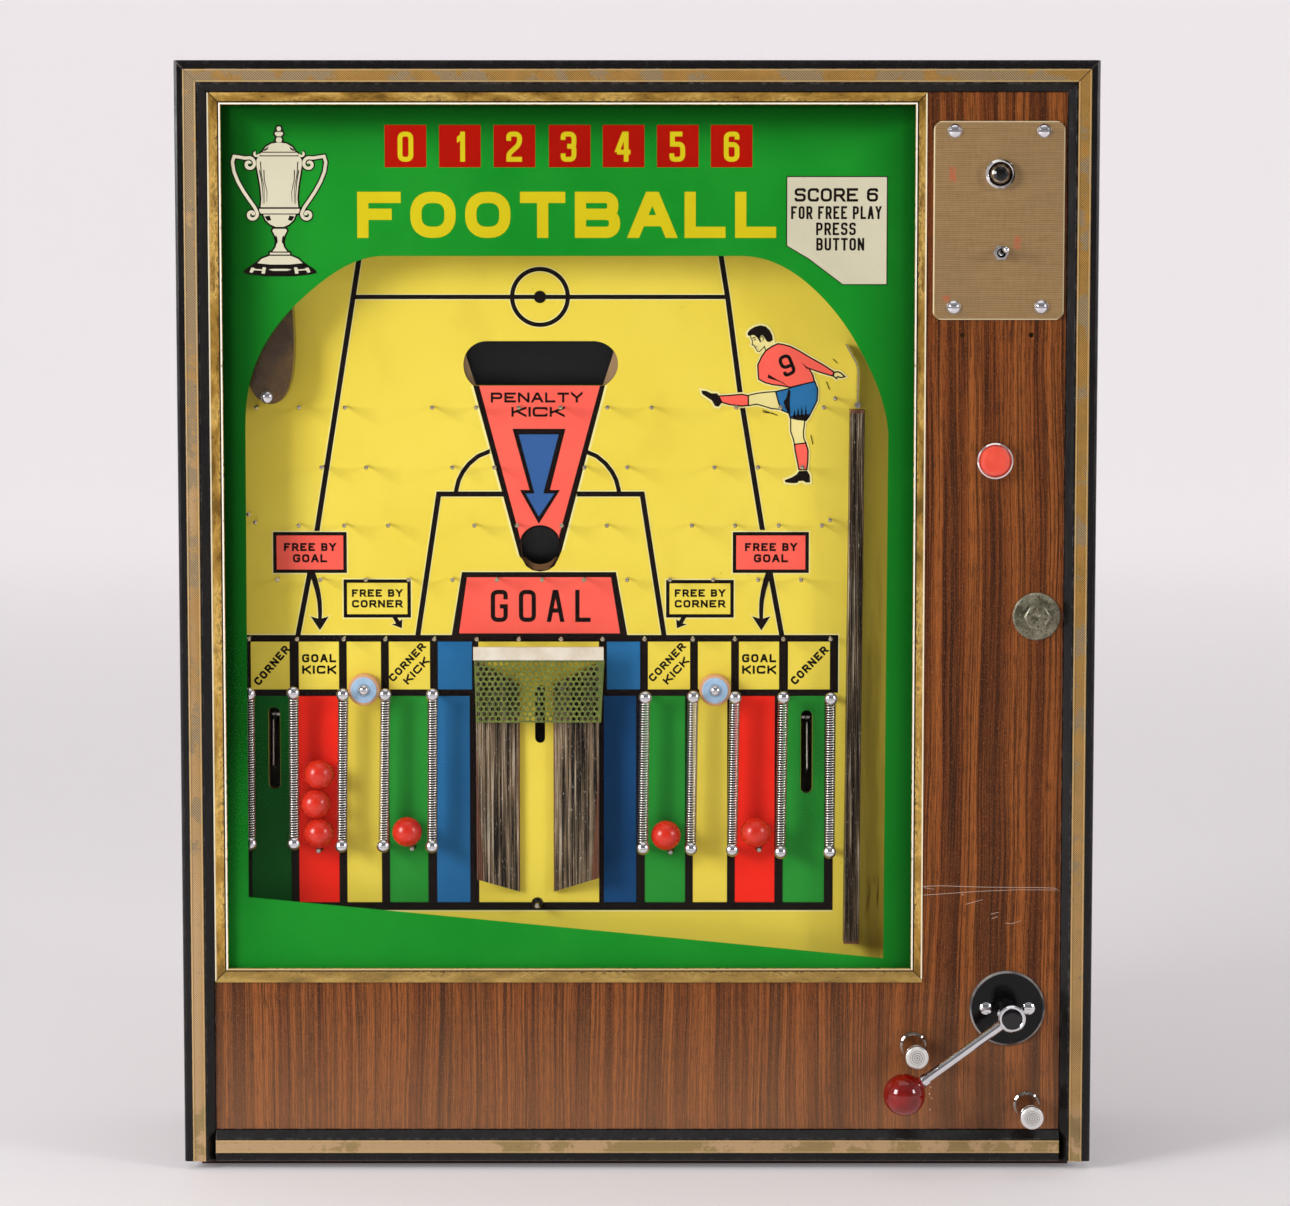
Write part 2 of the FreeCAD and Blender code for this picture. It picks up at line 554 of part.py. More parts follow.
# ---- hidden channel from the penalty window down to the round hole ----
outer = [(-141, 626), (-4, 626), (-4, 590), (-16, 575), (-46, 456), (-46, 436), (-98, 436), (-98, 456),
         (-130, 575), (-141, 590)]
inner = [(-132.0, 618), (-13.5, 618), (-26.2, 579), (-55, 462), (-55, 444), (-89, 444), (-89, 458),
         (-119.5, 579)]
channel = poly_y(outer, PLAY_D1, 86.0).cut(poly_y(inner, PLAY_D1 - 1, 82.0))
save("penalty_channel", channel)

# ---- balls ----


def ball(x, z):
    return Part.makeSphere(BALL_R, V(x, BALL_D, z))


save("ball_stack", ball(-237.6, 247.9), ball(-240.0, 270.05), ball(-237.3, 292.2))
save("ball_second_lane", ball(-171.8, 248.9))
save("ball_third_lane", ball(21.3, 246.2))
save("ball_fourth_lane", ball(88.2, 248.4))

# ---- ball release: five pins on one bar, pulled back by a solenoid ----
BAR_D0 = 66.0
BAR_D1 = 69.0
GUIDES = [(-140.0, 235.0), (-10.0, 235.0)]
bar = box(-250.0, 105.0, BAR_D0, BAR_D1, 228.5, 241.5).fuse(
    box(-81.0, -69.0, BAR_D0, BAR_D1, 187.0, 229.0))
bar = bar.fuse([turned(x, z, [(0, 33.0), (PIN_R - 0.4, 33.0), (PIN_R, 33.5), (PIN_R, BAR_D0 + 1),
                              (0, BAR_D0 + 1)]) for x, z in RELEASE_PINS])
bar = bar.fuse(cyl(-75.0, 235.0, BAR_D1 - 1, 104.0, 5.0))
bar = bar.cut([cyl(x, z, 50, 90, 3.05) for x, z in GUIDES])
save("release_bar", bar.removeSplitter())

coil = turned(-75.0, 235.0, [(5.4, 88.0), (18, 88.0), (18, 91.0), (15, 91.0), (15, 123.0), (18, 123.0),
                             (18, 126.0), (5.4, 126.0)])
yoke = box(-97.0, -53.0, 84.0, 88.0, 216.0, 254.0).cut(cyl(-75.0, 235.0, 80, 90, 5.4))
yoke_legs = [box(-97.0, -93.5, PLAY_D1, 130.0, 243.0, 254.0), box(-56.5, -53.0, PLAY_D1, 130.0, 243.0, 254.0),
             box(-97.0, -53.0, 126.0, 130.0, 216.0, 254.0)]
guide_rods = [cyl(x, z, PLAY_D1, 86.0, 3.0).fuse(cyl(x, z, 86.0, 88.0, 5.0)) for x, z in GUIDES]
save("release_solenoid", coil, yoke.fuse(yoke_legs).removeSplitter(), *guide_rods)

# ---- slot sensors: a wire loop on a pivot with a microswitch beside it ----


def slot_wire(x, z0, z1):
    pivot_z = z1 - 7.0
    loop = bent_wire([(x, 66.0, pivot_z), (x, 39.0, pivot_z - 2.0), (x, 36.0, z0 + 20.0),
                      (x, 58.0, z0 + 14.0)], 0.6)
    hub = cyl_x(x - 3.0, x + 3.0, 66.0, pivot_z, 2.6)
    return loop.fuse(hub).cut(cyl_x(x - 4.0, x + 4.0, 66.0, pivot_z, 1.06)).removeSplitter()


for name, slot in zip(("slot_wire_left", "slot_wire_right", "slot_wire_centre"), SLOTS):
    save(name, slot_wire(*slot))


def slot_switch(x, z0, z1):
    pivot_z = z1 - 7.0
    body = box(x + 4.0, x + 12.0, 60.0, 78.0, pivot_z - 6.0, pivot_z + 12.0)
    foot = box(x + 4.0, x + 12.0, PLAY_D1, 60.0, pivot_z + 2.0, pivot_z + 10.0)
    axle = cyl_x(x - 4.0, x + 4.0, 66.0, pivot_z, 1.0)
    return body.fuse([foot, axle]).removeSplitter()


def button_switch(x, z):
    return box(x - 8.0, x + 8.0, 33.2, 46.0, z - 14.0, z + 14.0)


toggle_body = box(TOGGLE[0] - 7, TOGGLE[0] + 7, BOARD_D1 + 0.3, 40.0, TOGGLE[1] - 14, TOGGLE[1] + 14)
toggle_body = toggle_body.cut(cyl(TOGGLE[0], TOGGLE[1], 20, 30, 3.6))
save("microswitches", *([slot_switch(*slot) for slot in SLOTS]
                        + [button_switch(*RED_BTN), button_switch(*BLACK_BTN), toggle_body]))

# ---- controls on the right-hand column ----
plate = box(PLATE_BOX[0], PLATE_BOX[1], 5.2, PANEL_D, PLATE_BOX[2], PLATE_BOX[3])
upright = [e for e in plate.Edges if abs(e.Length - (PANEL_D - 5.2)) < 0.01]
plate = plate.makeFillet(PLATE_CORNER_R, upright)
rim = [e for e in plate.Edges if abs(e.BoundBox.YMin - (FRONT_Y + 5.2)) < 0.01
       and abs(e.BoundBox.YMax - (FRONT_Y + 5.2)) < 0.01]
plate = plate.makeChamfer(0.8, rim)
save("coin_plate", plate.cut([cyl(BLACK_BTN[0], BLACK_BTN[1], 0, 30, 8.0),
                              cyl(TOGGLE[0], TOGGLE[1], 0, 30, TOGGLE_BUSH_R)]))

ESC_R = 28.0
esc = turned(LEVER_X, LEVER_Z, [(9.0, 5.0), (26.6, 5.0), (ESC_R, 6.4), (ESC_R, PANEL_D), (9.0, PANEL_D)])
bush = tube(LEVER_X, LEVER_Z, 0.5, 23.5, 9.0, SHAFT_R + 0.05)
save("lever_escutcheon", esc.fuse(bush).removeSplitter())
PANEL_SCREWS = [screw(x, z, 1.9, 5.15, 5.5, 0.8) for x, z in PLATE_SCREWS]
ESC_SCREWS = [screw(x, z, 3.3, 4.95, 4.6, 0.8) for x, z in ((258.7, 121.0), (290.4, 121.0))]
save("slotted_screws", *(PANEL_SCREWS + ESC_SCREWS + PLAY_SCREWS))


def stop_peg(x, z):
    return turned(x, z, [(0, -42.0), (7.2, -42.0), (STOP_R, -40.8), (STOP_R, -37.0), (STOP_R - 0.5, -36.6),
                         (STOP_R - 0.5, -35.4), (STOP_R, -35.0), (STOP_R, 5.2), (STOP_R + 1.2, 6.0),
                         (STOP_R + 1.2, PANEL_D), (4.0, PANEL_D), (4.0, BOARD_D1), (0, BOARD_D1)])


save("lever_stops", *[stop_peg(x, z) for x, z in STOPS])

red_bezel = turned(RED_BTN[0], RED_BTN[1], [(11.3, 0.8), (12.2, 0.0), (13.2, 0.8), (13.6, 3.0), (13.6, PANEL_D),
                                            (10.0, PANEL_D), (10.0, 26.0), (9.2, 26.0), (9.2, 7.0),
                                            (11.3, 7.0)])
black_bezel = turned(BLACK_BTN[0], BLACK_BTN[1], [(7.9, 0.2), (9.4, -0.4), (10.8, 1.0), (10.8, 5.15),
                                                  (8.0, 5.15), (8.0, 26.0), (5.6, 26.0), (5.6, 4.0),
                                                  (7.9, 4.0)])
toggle_bush = tube(TOGGLE[0], TOGGLE[1], -2.0, BOARD_D1, TOGGLE_BUSH_R, 3.4)
toggle_nut = hexagon(TOGGLE[0], TOGGLE[1], 2.4, 5.1, TOGGLE_NUT_AF)
toggle_nut = toggle_nut.cut(cyl(TOGGLE[0], TOGGLE[1], 0, 9, TOGGLE_BUSH_R))
save("control_bezels", red_bezel, black_bezel, toggle_bush.fuse(toggle_nut).removeSplitter())

save("red_button_cap", turned(RED_BTN[0], RED_BTN[1], [(0, -1.6), (8.0, -1.5), (10.2, -0.8), (11.0, 0.6),
                                                       (11.0, 3.0), (8.9, 3.0), (8.9, 27.0), (3.0, 27.0),
                                                       (3.0, 29.6), (0, 29.6)]))
save("black_button_cap", turned(BLACK_BTN[0], BLACK_BTN[1], [(0, -3.6), (3.5, -3.2), (6.2, -1.6), (7.5, 0.8),
                                                             (7.5, 1.2), (5.3, 1.2), (5.3, 27.0), (2.0, 27.0),
                                                             (2.0, 29.6), (0, 29.6)]))

# The bat lever leans 12 degrees up and to the right.
lean = math.radians(12.0)
diag = math.sqrt(0.5)
PIVOT_D = 4.0
tip_len = 17.0
tip_dir = FreeCAD.Vector(math.sin(lean) * diag, -math.cos(lean), math.sin(lean) * diag)
pivot = V(TOGGLE[0], PIVOT_D, TOGGLE[1])
bat = Part.makeCone(1.3, 2.6, tip_len, pivot, tip_dir)
bat = bat.fuse([Part.makeSphere(2.6, pivot + tip_dir * tip_len), Part.makeSphere(2.9, pivot)])
save("toggle_lever", bat.removeSplitter())

# ---- security bolt and its keeper ----
head = hexagon(LOCK[0], LOCK[1], -0.3, 6.0, 17.0)
crown = turned(LOCK[0], LOCK[1], [(0, -0.3), (7.8, -0.3), (9.9, 0.9), (9.9, 6.0), (0, 6.0)])
bolt = head.common(crown).fuse(cyl(LOCK[0], LOCK[1], 6.0, 40.0, 5.0))
save("lock_bolt", bolt.removeSplitter())
save("lock_washer", turned(LOCK[0], LOCK[1], [(5.2, 6.0), (16.6, 6.0), (17.5, 6.8), (17.5, PANEL_D),
                                              (5.2, PANEL_D)]))
keeper = box(280.0, 307.0, 30.0, 33.0, 393.0, 433.0).cut(cyl(LOCK[0], LOCK[1], 20, 40, 6.6))
keeper = keeper.fuse(box(304.0, 307.0, 33.0, 62.0, 393.0, 433.0))
save("lock_keeper", keeper.removeSplitter())

# ---- lever, shaft and hammer ----
reach = math.dist((LEVER_X, LEVER_Z), (KNOB_X, KNOB_Z))
ux = (KNOB_X - LEVER_X) / reach
uz = (KNOB_Z - LEVER_Z) / reach
boss = turned(LEVER_X, LEVER_Z, [(7.7, -36.2), (8.2, -36.6), (9.0, -36.6), (10.0, -35.4), (10.0, -24.0),
                                 (8.8, -22.6), (SHAFT_R, -22.6), (SHAFT_R, 44.0), (0, 44.0), (0, -34.8),
                                 (7.7, -34.8)])
arm_start = (LEVER_X + ux * 6, LEVER_D, LEVER_Z + uz * 6)
arm_end = (LEVER_X + ux * (reach - 8), LEVER_D, LEVER_Z + uz * (reach - 8))
collar = [(LEVER_X + ux * (reach - t), LEVER_D, LEVER_Z + uz * (reach - t)) for t in (21.0, 17.2)]
save("lever_arm", boss.fuse([rod(arm_start, arm_end, ARM_R), rod(collar[0], collar[1], 4.6)]).removeSplitter())

# The knob is turned about the arm's own axis, with a short neck and a blind hole for the rod.
NECK_R = 5.0
NECK_START = -KNOB_R - 0.8
ROD_END = -8.0
neck_top = -math.sqrt(KNOB_R ** 2 - NECK_R ** 2)
outline = [(ARM_R, NECK_START), (NECK_R, NECK_START), (NECK_R, neck_top)]
inside = [(0, KNOB_R), (0, ROD_END), (ARM_R, ROD_END), (ARM_R, NECK_START)]
edges = [Part.LineSegment(FreeCAD.Vector(a[0], 0, a[1]), FreeCAD.Vector(b[0], 0, b[1])).toShape()
         for path in (outline, inside) for a, b in zip(path, path[1:])]
crown_arc = Part.Arc(FreeCAD.Vector(NECK_R, 0, neck_top), FreeCAD.Vector(KNOB_R, 0, 0),
                     FreeCAD.Vector(0, 0, KNOB_R)).toShape()
profile = Part.Face(Part.Wire(Part.__sortEdges__(edges + [crown_arc])))
knob = profile.revolve(FreeCAD.Vector(0, 0, 0), FreeCAD.Vector(0, 0, 1), 360)
knob.Placement = FreeCAD.Placement(
    V(KNOB_X, LEVER_D, KNOB_Z), FreeCAD.Rotation(FreeCAD.Vector(0, 0, 1), FreeCAD.Vector(ux, 0, uz)))
save("lever_knob", knob)

hub = cyl(LEVER_X, LEVER_Z, 29.2, 40.0, 10.0)
arm = poly_y([(LEVER_X, 125.9), (188.0, 131.0), (174.0, 131.0), (174.0, 124.0), (188.0, 121.5),
              (LEVER_X, 113.9)], 29.2, 40.0)
save("lever_hammer", hub.fuse(arm).cut(cyl(LEVER_X, LEVER_Z, 20, 50, SHAFT_R)).removeSplitter())

# ---- carcase ----
side_z1 = CASE_H
sides = [box(CASE_X0, CASE_X0 + SIDE_T, CASE_FRONT_D, TOTAL_D, 0, side_z1),
         box(CASE_X1 - SIDE_T, CASE_X1, CASE_FRONT_D, TOTAL_D, 0, side_z1)]
GLAND_D = 180.0
GLAND_Z = 62.0
sides[1] = sides[1].cut(cyl_x(300, 330, GLAND_D, GLAND_Z, 7.0))
save("case_sides", *sides)
INNER_X0 = CASE_X0 + SIDE_T
INNER_X1 = CASE_X1 - SIDE_T
save("case_top_and_floor", box(INNER_X0, INNER_X1, CASE_FRONT_D, TOTAL_D, CASE_H - SIDE_T, CASE_H),
     box(INNER_X0, INNER_X1, CASE_FRONT_D, TOTAL_D, 0, SIDE_T))
wall_holes = [cyl(sx * WALL_SPAN_X / 2, WALL_MID_Z + sz * WALL_SPAN_Z / 2, 200, 220, WALL_HOLE_R)
              for sx in (-1, 1) for sz in (-1, 1)]
save("case_back", box(INNER_X0, INNER_X1, TOTAL_D - BACK_T, TOTAL_D, SIDE_T, CASE_H - SIDE_T).cut(wall_holes))


def corner_block(x, z, sx, sz):
    return poly_y([(x, z), (x + sx * 30, z), (x, z + sz * 30)], 150.0, TOTAL_D - BACK_T)


save("case_corner_blocks",
     corner_block(INNER_X0, SIDE_T, 1, 1), corner_block(INNER_X1, SIDE_T, -1, 1),
     corner_block(INNER_X0, CASE_H - SIDE_T, 1, -1), corner_block(INNER_X1, CASE_H - SIDE_T, -1, -1))

gland = Part.makeCylinder(7.0, 24.0, V(300.0, GLAND_D, GLAND_Z), FreeCAD.Vector(1, 0, 0))
gland = gland.fuse([cyl_x(322.0, 325.0, GLAND_D, GLAND_Z, 11.0), cyl_x(325.0, 333.0, GLAND_D, GLAND_Z, 8.5),
                    cyl_x(304.0, 307.0, GLAND_D, GLAND_Z, 11.0)])
save("cable_gland", gland.cut(cyl_x(290, 340, GLAND_D, GLAND_Z, 4.2)).removeSplitter())

save("transformer_core", box(120.0, 186.0, 140.0, 196.0, SIDE_T, SIDE_T + 18.0).fuse([
    box(120.0, 134.0, 140.0, 196.0, SIDE_T, SIDE_T + 62.0), box(172.0, 186.0, 140.0, 196.0, SIDE_T, SIDE_T + 62.0),
    box(120.0, 186.0, 140.0, 196.0, SIDE_T + 46.0, SIDE_T + 62.0)]).removeSplitter())
save("transformer_winding", box(134.0, 172.0, 132.0, 203.0, SIDE_T + 18.0, SIDE_T + 46.0))

# ---- piano hinge ----
KNUCKLES = 9
HINGE_Z0 = 24.0
HINGE_Z1 = 802.0
seg = (HINGE_Z1 - HINGE_Z0) / KNUCKLES


def knuckle(k, bore):
    z0 = HINGE_Z0 + k * seg + 0.3
    z1 = HINGE_Z0 + (k + 1) * seg - 0.3
    return cyl_z(HINGE_X, HINGE_D, z0, z1, HINGE_R).cut(cyl_z(HINGE_X, HINGE_D, z0 - 1, z1 + 1, bore))


door_leaf = box(-326.4, -308.0, BOARD_D1, BOARD_D1 + 1.1, HINGE_Z0, HINGE_Z1)
case_leaf = box(CASE_X0 - 1.2, CASE_X0, 24.6, 44.0, HINGE_Z0, HINGE_Z1)
door_parts = []
case_parts = []
for k in range(KNUCKLES):
    z0 = HINGE_Z0 + k * seg + 0.3
    z1 = HINGE_Z0 + (k + 1) * seg - 0.3
    if k % 2:
        door_parts.append(knuckle(k, HINGE_PIN_R + 0.05))
        door_parts.append(box(-328.4, -326.0, BOARD_D1, BOARD_D1 + 1.1, z0, z1))
    else:
        case_parts.append(knuckle(k, HINGE_PIN_R))
        case_parts.append(box(-328.4, -326.0, 23.0, 25.0, z0, z1))
save("hinge_leaf_door", door_leaf.fuse(door_parts).removeSplitter())
pin = cyl_z(HINGE_X, HINGE_D, HINGE_Z0, HINGE_Z1, HINGE_PIN_R)
save("hinge_leaf_case", case_leaf.fuse(case_parts + [pin]).removeSplitter())
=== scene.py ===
import math

import bmesh
import bpy
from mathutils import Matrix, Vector, noise
from mathutils.bvhtree import BVHTree
from mathutils.geometry import delaunay_2d_cdt, tessellate_polygon


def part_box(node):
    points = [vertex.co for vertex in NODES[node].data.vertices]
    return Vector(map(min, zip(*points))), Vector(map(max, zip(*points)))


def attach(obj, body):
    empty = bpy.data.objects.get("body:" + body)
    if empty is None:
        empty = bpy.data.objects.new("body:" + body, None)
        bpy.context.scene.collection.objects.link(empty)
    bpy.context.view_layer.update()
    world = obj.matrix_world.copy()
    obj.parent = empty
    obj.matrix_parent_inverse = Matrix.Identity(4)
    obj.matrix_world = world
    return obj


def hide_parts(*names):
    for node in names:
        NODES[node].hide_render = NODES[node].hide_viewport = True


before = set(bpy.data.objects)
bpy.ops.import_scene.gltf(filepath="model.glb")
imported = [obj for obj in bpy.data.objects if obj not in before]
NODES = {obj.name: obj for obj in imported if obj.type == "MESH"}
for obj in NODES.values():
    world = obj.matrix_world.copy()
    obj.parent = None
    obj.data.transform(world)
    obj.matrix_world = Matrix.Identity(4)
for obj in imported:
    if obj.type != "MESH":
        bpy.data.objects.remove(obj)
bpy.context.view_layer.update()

# ---------------------------------------------------------------- places, in metres
MM = 0.001
FRONT_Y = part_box("frame_gold_inlay")[0][1]
PLAY_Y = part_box("playfield_board")[0][1]
MASK_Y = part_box("glass_mask")[0][1]
LAYER = 0.07 * MM


# ================================================================ material tools
class Nodes:
    """Thin wrapper round one material's node tree; every texture uses object coordinates."""

    def __init__(self, name):
        self.mat = bpy.data.materials.new(name)
        self.mat.use_nodes = True
        self.nt = self.mat.node_tree
        self.nt.nodes.clear()
        self.out = self.nt.nodes.new("ShaderNodeOutputMaterial")
        self.bsdf = self.nt.nodes.new("ShaderNodeBsdfPrincipled")
        self.nt.links.new(self.bsdf.outputs[0], self.out.inputs[0])
        self.coord = self.nt.nodes.new("ShaderNodeTexCoord")
        self.obj = self.coord.outputs["Object"]

    def link(self, value, socket):
        """Joins a socket, or sets a value; three whole numbers are a display colour, 0 to 255."""
        if isinstance(value, tuple) and all(isinstance(c, int) for c in value):
            value = srgb(*value)
        if isinstance(value, bpy.types.NodeSocket):
            self.nt.links.new(value, socket)
        elif value is not None:
            if isinstance(value, tuple) and len(value) == 3 and len(socket.default_value) == 4:
                value = value + (1.0,)
            socket.default_value = value

    def set(self, **values):
        for key, value in values.items():
            self.link(value, self.bsdf.inputs[key.replace("_", " ")])
        return self.mat

    def scaled(self, scale, turn=(0, 0, 0), vec=None):
        m = self.nt.nodes.new("ShaderNodeMapping")
        m.inputs["Scale"].default_value = scale
        m.inputs["Rotation"].default_value = turn
        self.nt.links.new(vec or self.obj, m.inputs["Vector"])
        return m.outputs[0]

    def noise(self, scale, detail=4.0, stretch=None, rough=0.55, vec=None):
        """Noise in object space, its axes multiplied by stretch; a small factor draws it out along that axis."""
        vec = self.scaled(stretch, vec=vec) if stretch else vec
        n = self.nt.nodes.new("ShaderNodeTexNoise")
        n.inputs["Scale"].default_value = scale
        n.inputs["Detail"].default_value = detail
        n.inputs["Roughness"].default_value = rough
        self.nt.links.new(vec or self.obj, n.inputs["Vector"])
        return n.outputs["Fac"]

    def wave(self, scale, vec, axis, distort=0.0):
        n = self.nt.nodes.new("ShaderNodeTexWave")
        n.bands_direction = axis
        n.inputs["Scale"].default_value = scale
        n.inputs["Distortion"].default_value = distort
        self.nt.links.new(vec or self.obj, n.inputs["Vector"])
        return n.outputs["Fac"]

    def ramp(self, fac, stops):
        n = self.nt.nodes.new("ShaderNodeValToRGB")
        elements = n.color_ramp.elements
        while len(elements) < len(stops):
            elements.new(0.5)
        for e, (pos, col) in zip(elements, stops):
            e.position = pos
            e.color = srgb(*col) + (1.0,) if isinstance(col, tuple) else (col, col, col, 1.0)
        self.nt.links.new(fac, n.inputs[0])
        return n.outputs[0]

    def fade(self, fac, start, end, low=0.0, high=1.0):
        """A straight ramp from low at start to high at end."""
        return self.ramp(fac, [(start, low), (end, high)])

    def mix(self, fac, a, b):
        n = self.nt.nodes.new("ShaderNodeMix")
        n.data_type = "RGBA"
        self.link(fac, n.inputs[0])
        self.link(a, n.inputs[6])
        self.link(b, n.inputs[7])
        return n.outputs[2]

    def math(self, op, a, b=0.0, clamp=False):
        n = self.nt.nodes.new("ShaderNodeMath")
        n.operation = op
        n.use_clamp = clamp
        self.link(a, n.inputs[0])
        self.link(b, n.inputs[1])
        return n.outputs[0]

    def plus(self, a, b):
        return self.math("ADD", a, b)

    def minus(self, a, b):
        return self.math("SUBTRACT", a, b)

    def times(self, a, b):
        return self.math("MULTIPLY", a, b)

    def larger(self, a, b):
        return self.math("MAXIMUM", a, b)

    def smaller(self, a, b):
        return self.math("MINIMUM", a, b)

    def absolute(self, a):
        return self.math("ABSOLUTE", a)

    def axis(self, which, vec=None):
        n = self.nt.nodes.new("ShaderNodeSeparateXYZ")
        self.nt.links.new(vec or self.obj, n.inputs[0])
        return n.outputs["XYZ".index(which)]

    def vector(self, op, a, b=None):
        n = self.nt.nodes.new("ShaderNodeVectorMath")
        n.operation = op
        self.link(a, n.inputs[0])
        self.link(b, n.inputs[1])
        return n.outputs["Value" if op in ("LENGTH", "DOT_PRODUCT") else "Vector"]

    def mm(self, which, zero=0.0):
        """Position along one axis in mm, measured from zero."""
        return self.minus(self.times(self.axis(which), 1000.0), zero)

    def radial(self, *centres):
        """Distance in mm from the nearest of the front-to-back axes through the given (x, z)."""
        nearest = None
        for x, z in centres:
            offset = self.vector("SUBTRACT", self.obj, (x * MM, 0.0, z * MM))
            r = self.vector("LENGTH", self.vector("MULTIPLY", offset, (1000.0, 0.0, 1000.0)))
            nearest = r if nearest is None else self.smaller(nearest, r)
        return nearest

    def steps(self, value, *stops):
        """A ramp read straight from a value in mm: stops are (mm, shade)."""
        low, high = stops[0][0], stops[-1][0]
        span = (high - low) or 1.0
        t = self.math("DIVIDE", self.minus(value, low), span, clamp=True)
        return self.ramp(t, [((a - low) / span, c) for a, c in stops])

    def bump(self, height, strength, distance):
        n = self.nt.nodes.new("ShaderNodeBump")
        n.inputs["Strength"].default_value = strength
        n.inputs["Distance"].default_value = distance
        self.nt.links.new(height, n.inputs["Height"])
        return n.outputs[0]

    def edge(self, radius=0.0006):
        """1 on convex edges, 0 on flat surfaces; used for worn paint and for painted edge highlights."""
        n = self.nt.nodes.new("ShaderNodeBevel")
        n.samples = 4
        n.inputs["Radius"].default_value = radius
        g = self.nt.nodes.new("ShaderNodeNewGeometry")
        d = self.nt.nodes.new("ShaderNodeVectorMath")
        d.operation = "DOT_PRODUCT"
        self.nt.links.new(n.outputs[0], d.inputs[0])
        self.nt.links.new(g.outputs["Normal"], d.inputs[1])
        return self.ramp(d.outputs["Value"], [(0.80, 1.0), (0.985, 0.0)])


def srgb(r, g, b):
    """Linear colour from 0-255 display values."""
    return tuple(((c / 255) / 12.92 if c <= 10 else (((c / 255) + 0.055) / 1.055) ** 2.4) for c in (r, g, b))


def give(material, *names):
    for name in names:
        NODES[name].data.materials.clear()
        NODES[name].data.materials.append(material)


# ================================================================ materials
def black_paint():
    m = Nodes("black_paint")
    m.set(Specular_IOR_Level=0.28)
    grain = m.noise(240, 6, (1, 1, 0.12))
    blotch = m.noise(26, 5)
    chips = m.fade(m.noise(130, 6), 0.48, 0.60)
    wear = m.times(m.edge(0.0009), chips)
    scuffs = m.fade(m.noise(70, 7, (1, 1, 2.5), rough=0.7), 0.66, 0.76, 0.0, 0.5)
    base = m.mix(m.fade(blotch, 0.35, 0.7), (11, 9, 9), (22, 19, 18))
    base = m.mix(scuffs, base, (72, 66, 62))
    return m.set(Base_Color=m.mix(m.times(wear, 0.8), base, (150, 140, 132)),
                 Roughness=m.fade(grain, 0.3, 0.7, 0.16, 0.34),
                 Normal=m.bump(grain, 0.10, 0.0001))


def gold_weave():
    """Woven gilt tape: diagonal dots, rubbed patches that show grey thread, and a pale bead on both edges."""
    m = Nodes("gold_weave")
    vec = m.scaled((1, 1, 1), (0, math.radians(45), 0))
    dots = m.times(m.wave(270, vec, "X"), m.wave(270, vec, "Z"))
    hatch = m.wave(240, vec, "X", distort=0.4)
    fray = m.noise(900, 3)
    low = m.steps(m.mm("Z"), (35, 1.0), (60, 0.0))
    left = m.steps(m.mm("X"), (-326, 1.0), (-318, 0.0))
    down = m.steps(m.mm("Z"), (180, 1.0), (430, 0.0))
    pale = m.times(left, m.fade(m.noise(9, 3), 0.40, 0.60, 0.25, 0.7))
    pale = m.larger(pale, m.times(down, m.fade(left, 0.0, 1.0, 0.35, 0.85)))
    pale = m.larger(pale, low)
    at_top = m.steps(m.mm("Z"), (780, 0.0), (815, 1.0))
    worn_at = m.plus(m.noise(34, 7, rough=0.68), m.times(m.noise(5, 1), 0.25))
    worn_at = m.plus(worn_at, m.times(at_top, -0.01))
    worn_at = m.minus(worn_at, m.times(m.minus(down, low), 0.10))
    patch = m.fade(worn_at, 0.625, 0.665, 0.0, 0.9)
    gold = m.mix(dots, (116, 82, 26), (208, 164, 76))
    rubbed = m.mix(dots, (142, 98, 34), (224, 174, 84))
    gold = m.mix(m.fade(m.noise(46, 6, rough=0.65), 0.42, 0.64, 0.0, 0.8), gold, rubbed)
    cream = m.mix(dots, (168, 134, 94), (228, 196, 152))
    thread = m.mix(hatch, (78, 60, 42), (176, 154, 114))
    stain = m.mix(dots, (126, 104, 60), (196, 168, 108))
    specks = m.fade(m.noise(420, 4, rough=0.7), 0.62, 0.70, 0.0, 0.8)
    colour = m.mix(patch, m.mix(pale, gold, cream), m.mix(low, thread, stain))
    colour = m.mix(specks, colour, (74, 52, 26))
    bead = m.steps(m.mm("Y", FRONT_Y / MM), (0.30, 1.0), (0.42, 0.0))
    return m.set(Base_Color=m.mix(bead, colour, m.mix(0.45, colour, (236, 204, 144))),
                 Metallic=m.fade(bead, 0.0, 1.0, 0.15, 0.55),
                 Roughness=m.fade(fray, 0.3, 0.7, 0.40, 0.58),
                 Normal=m.bump(m.plus(dots, m.times(fray, 0.3)), 0.45, 0.0003))


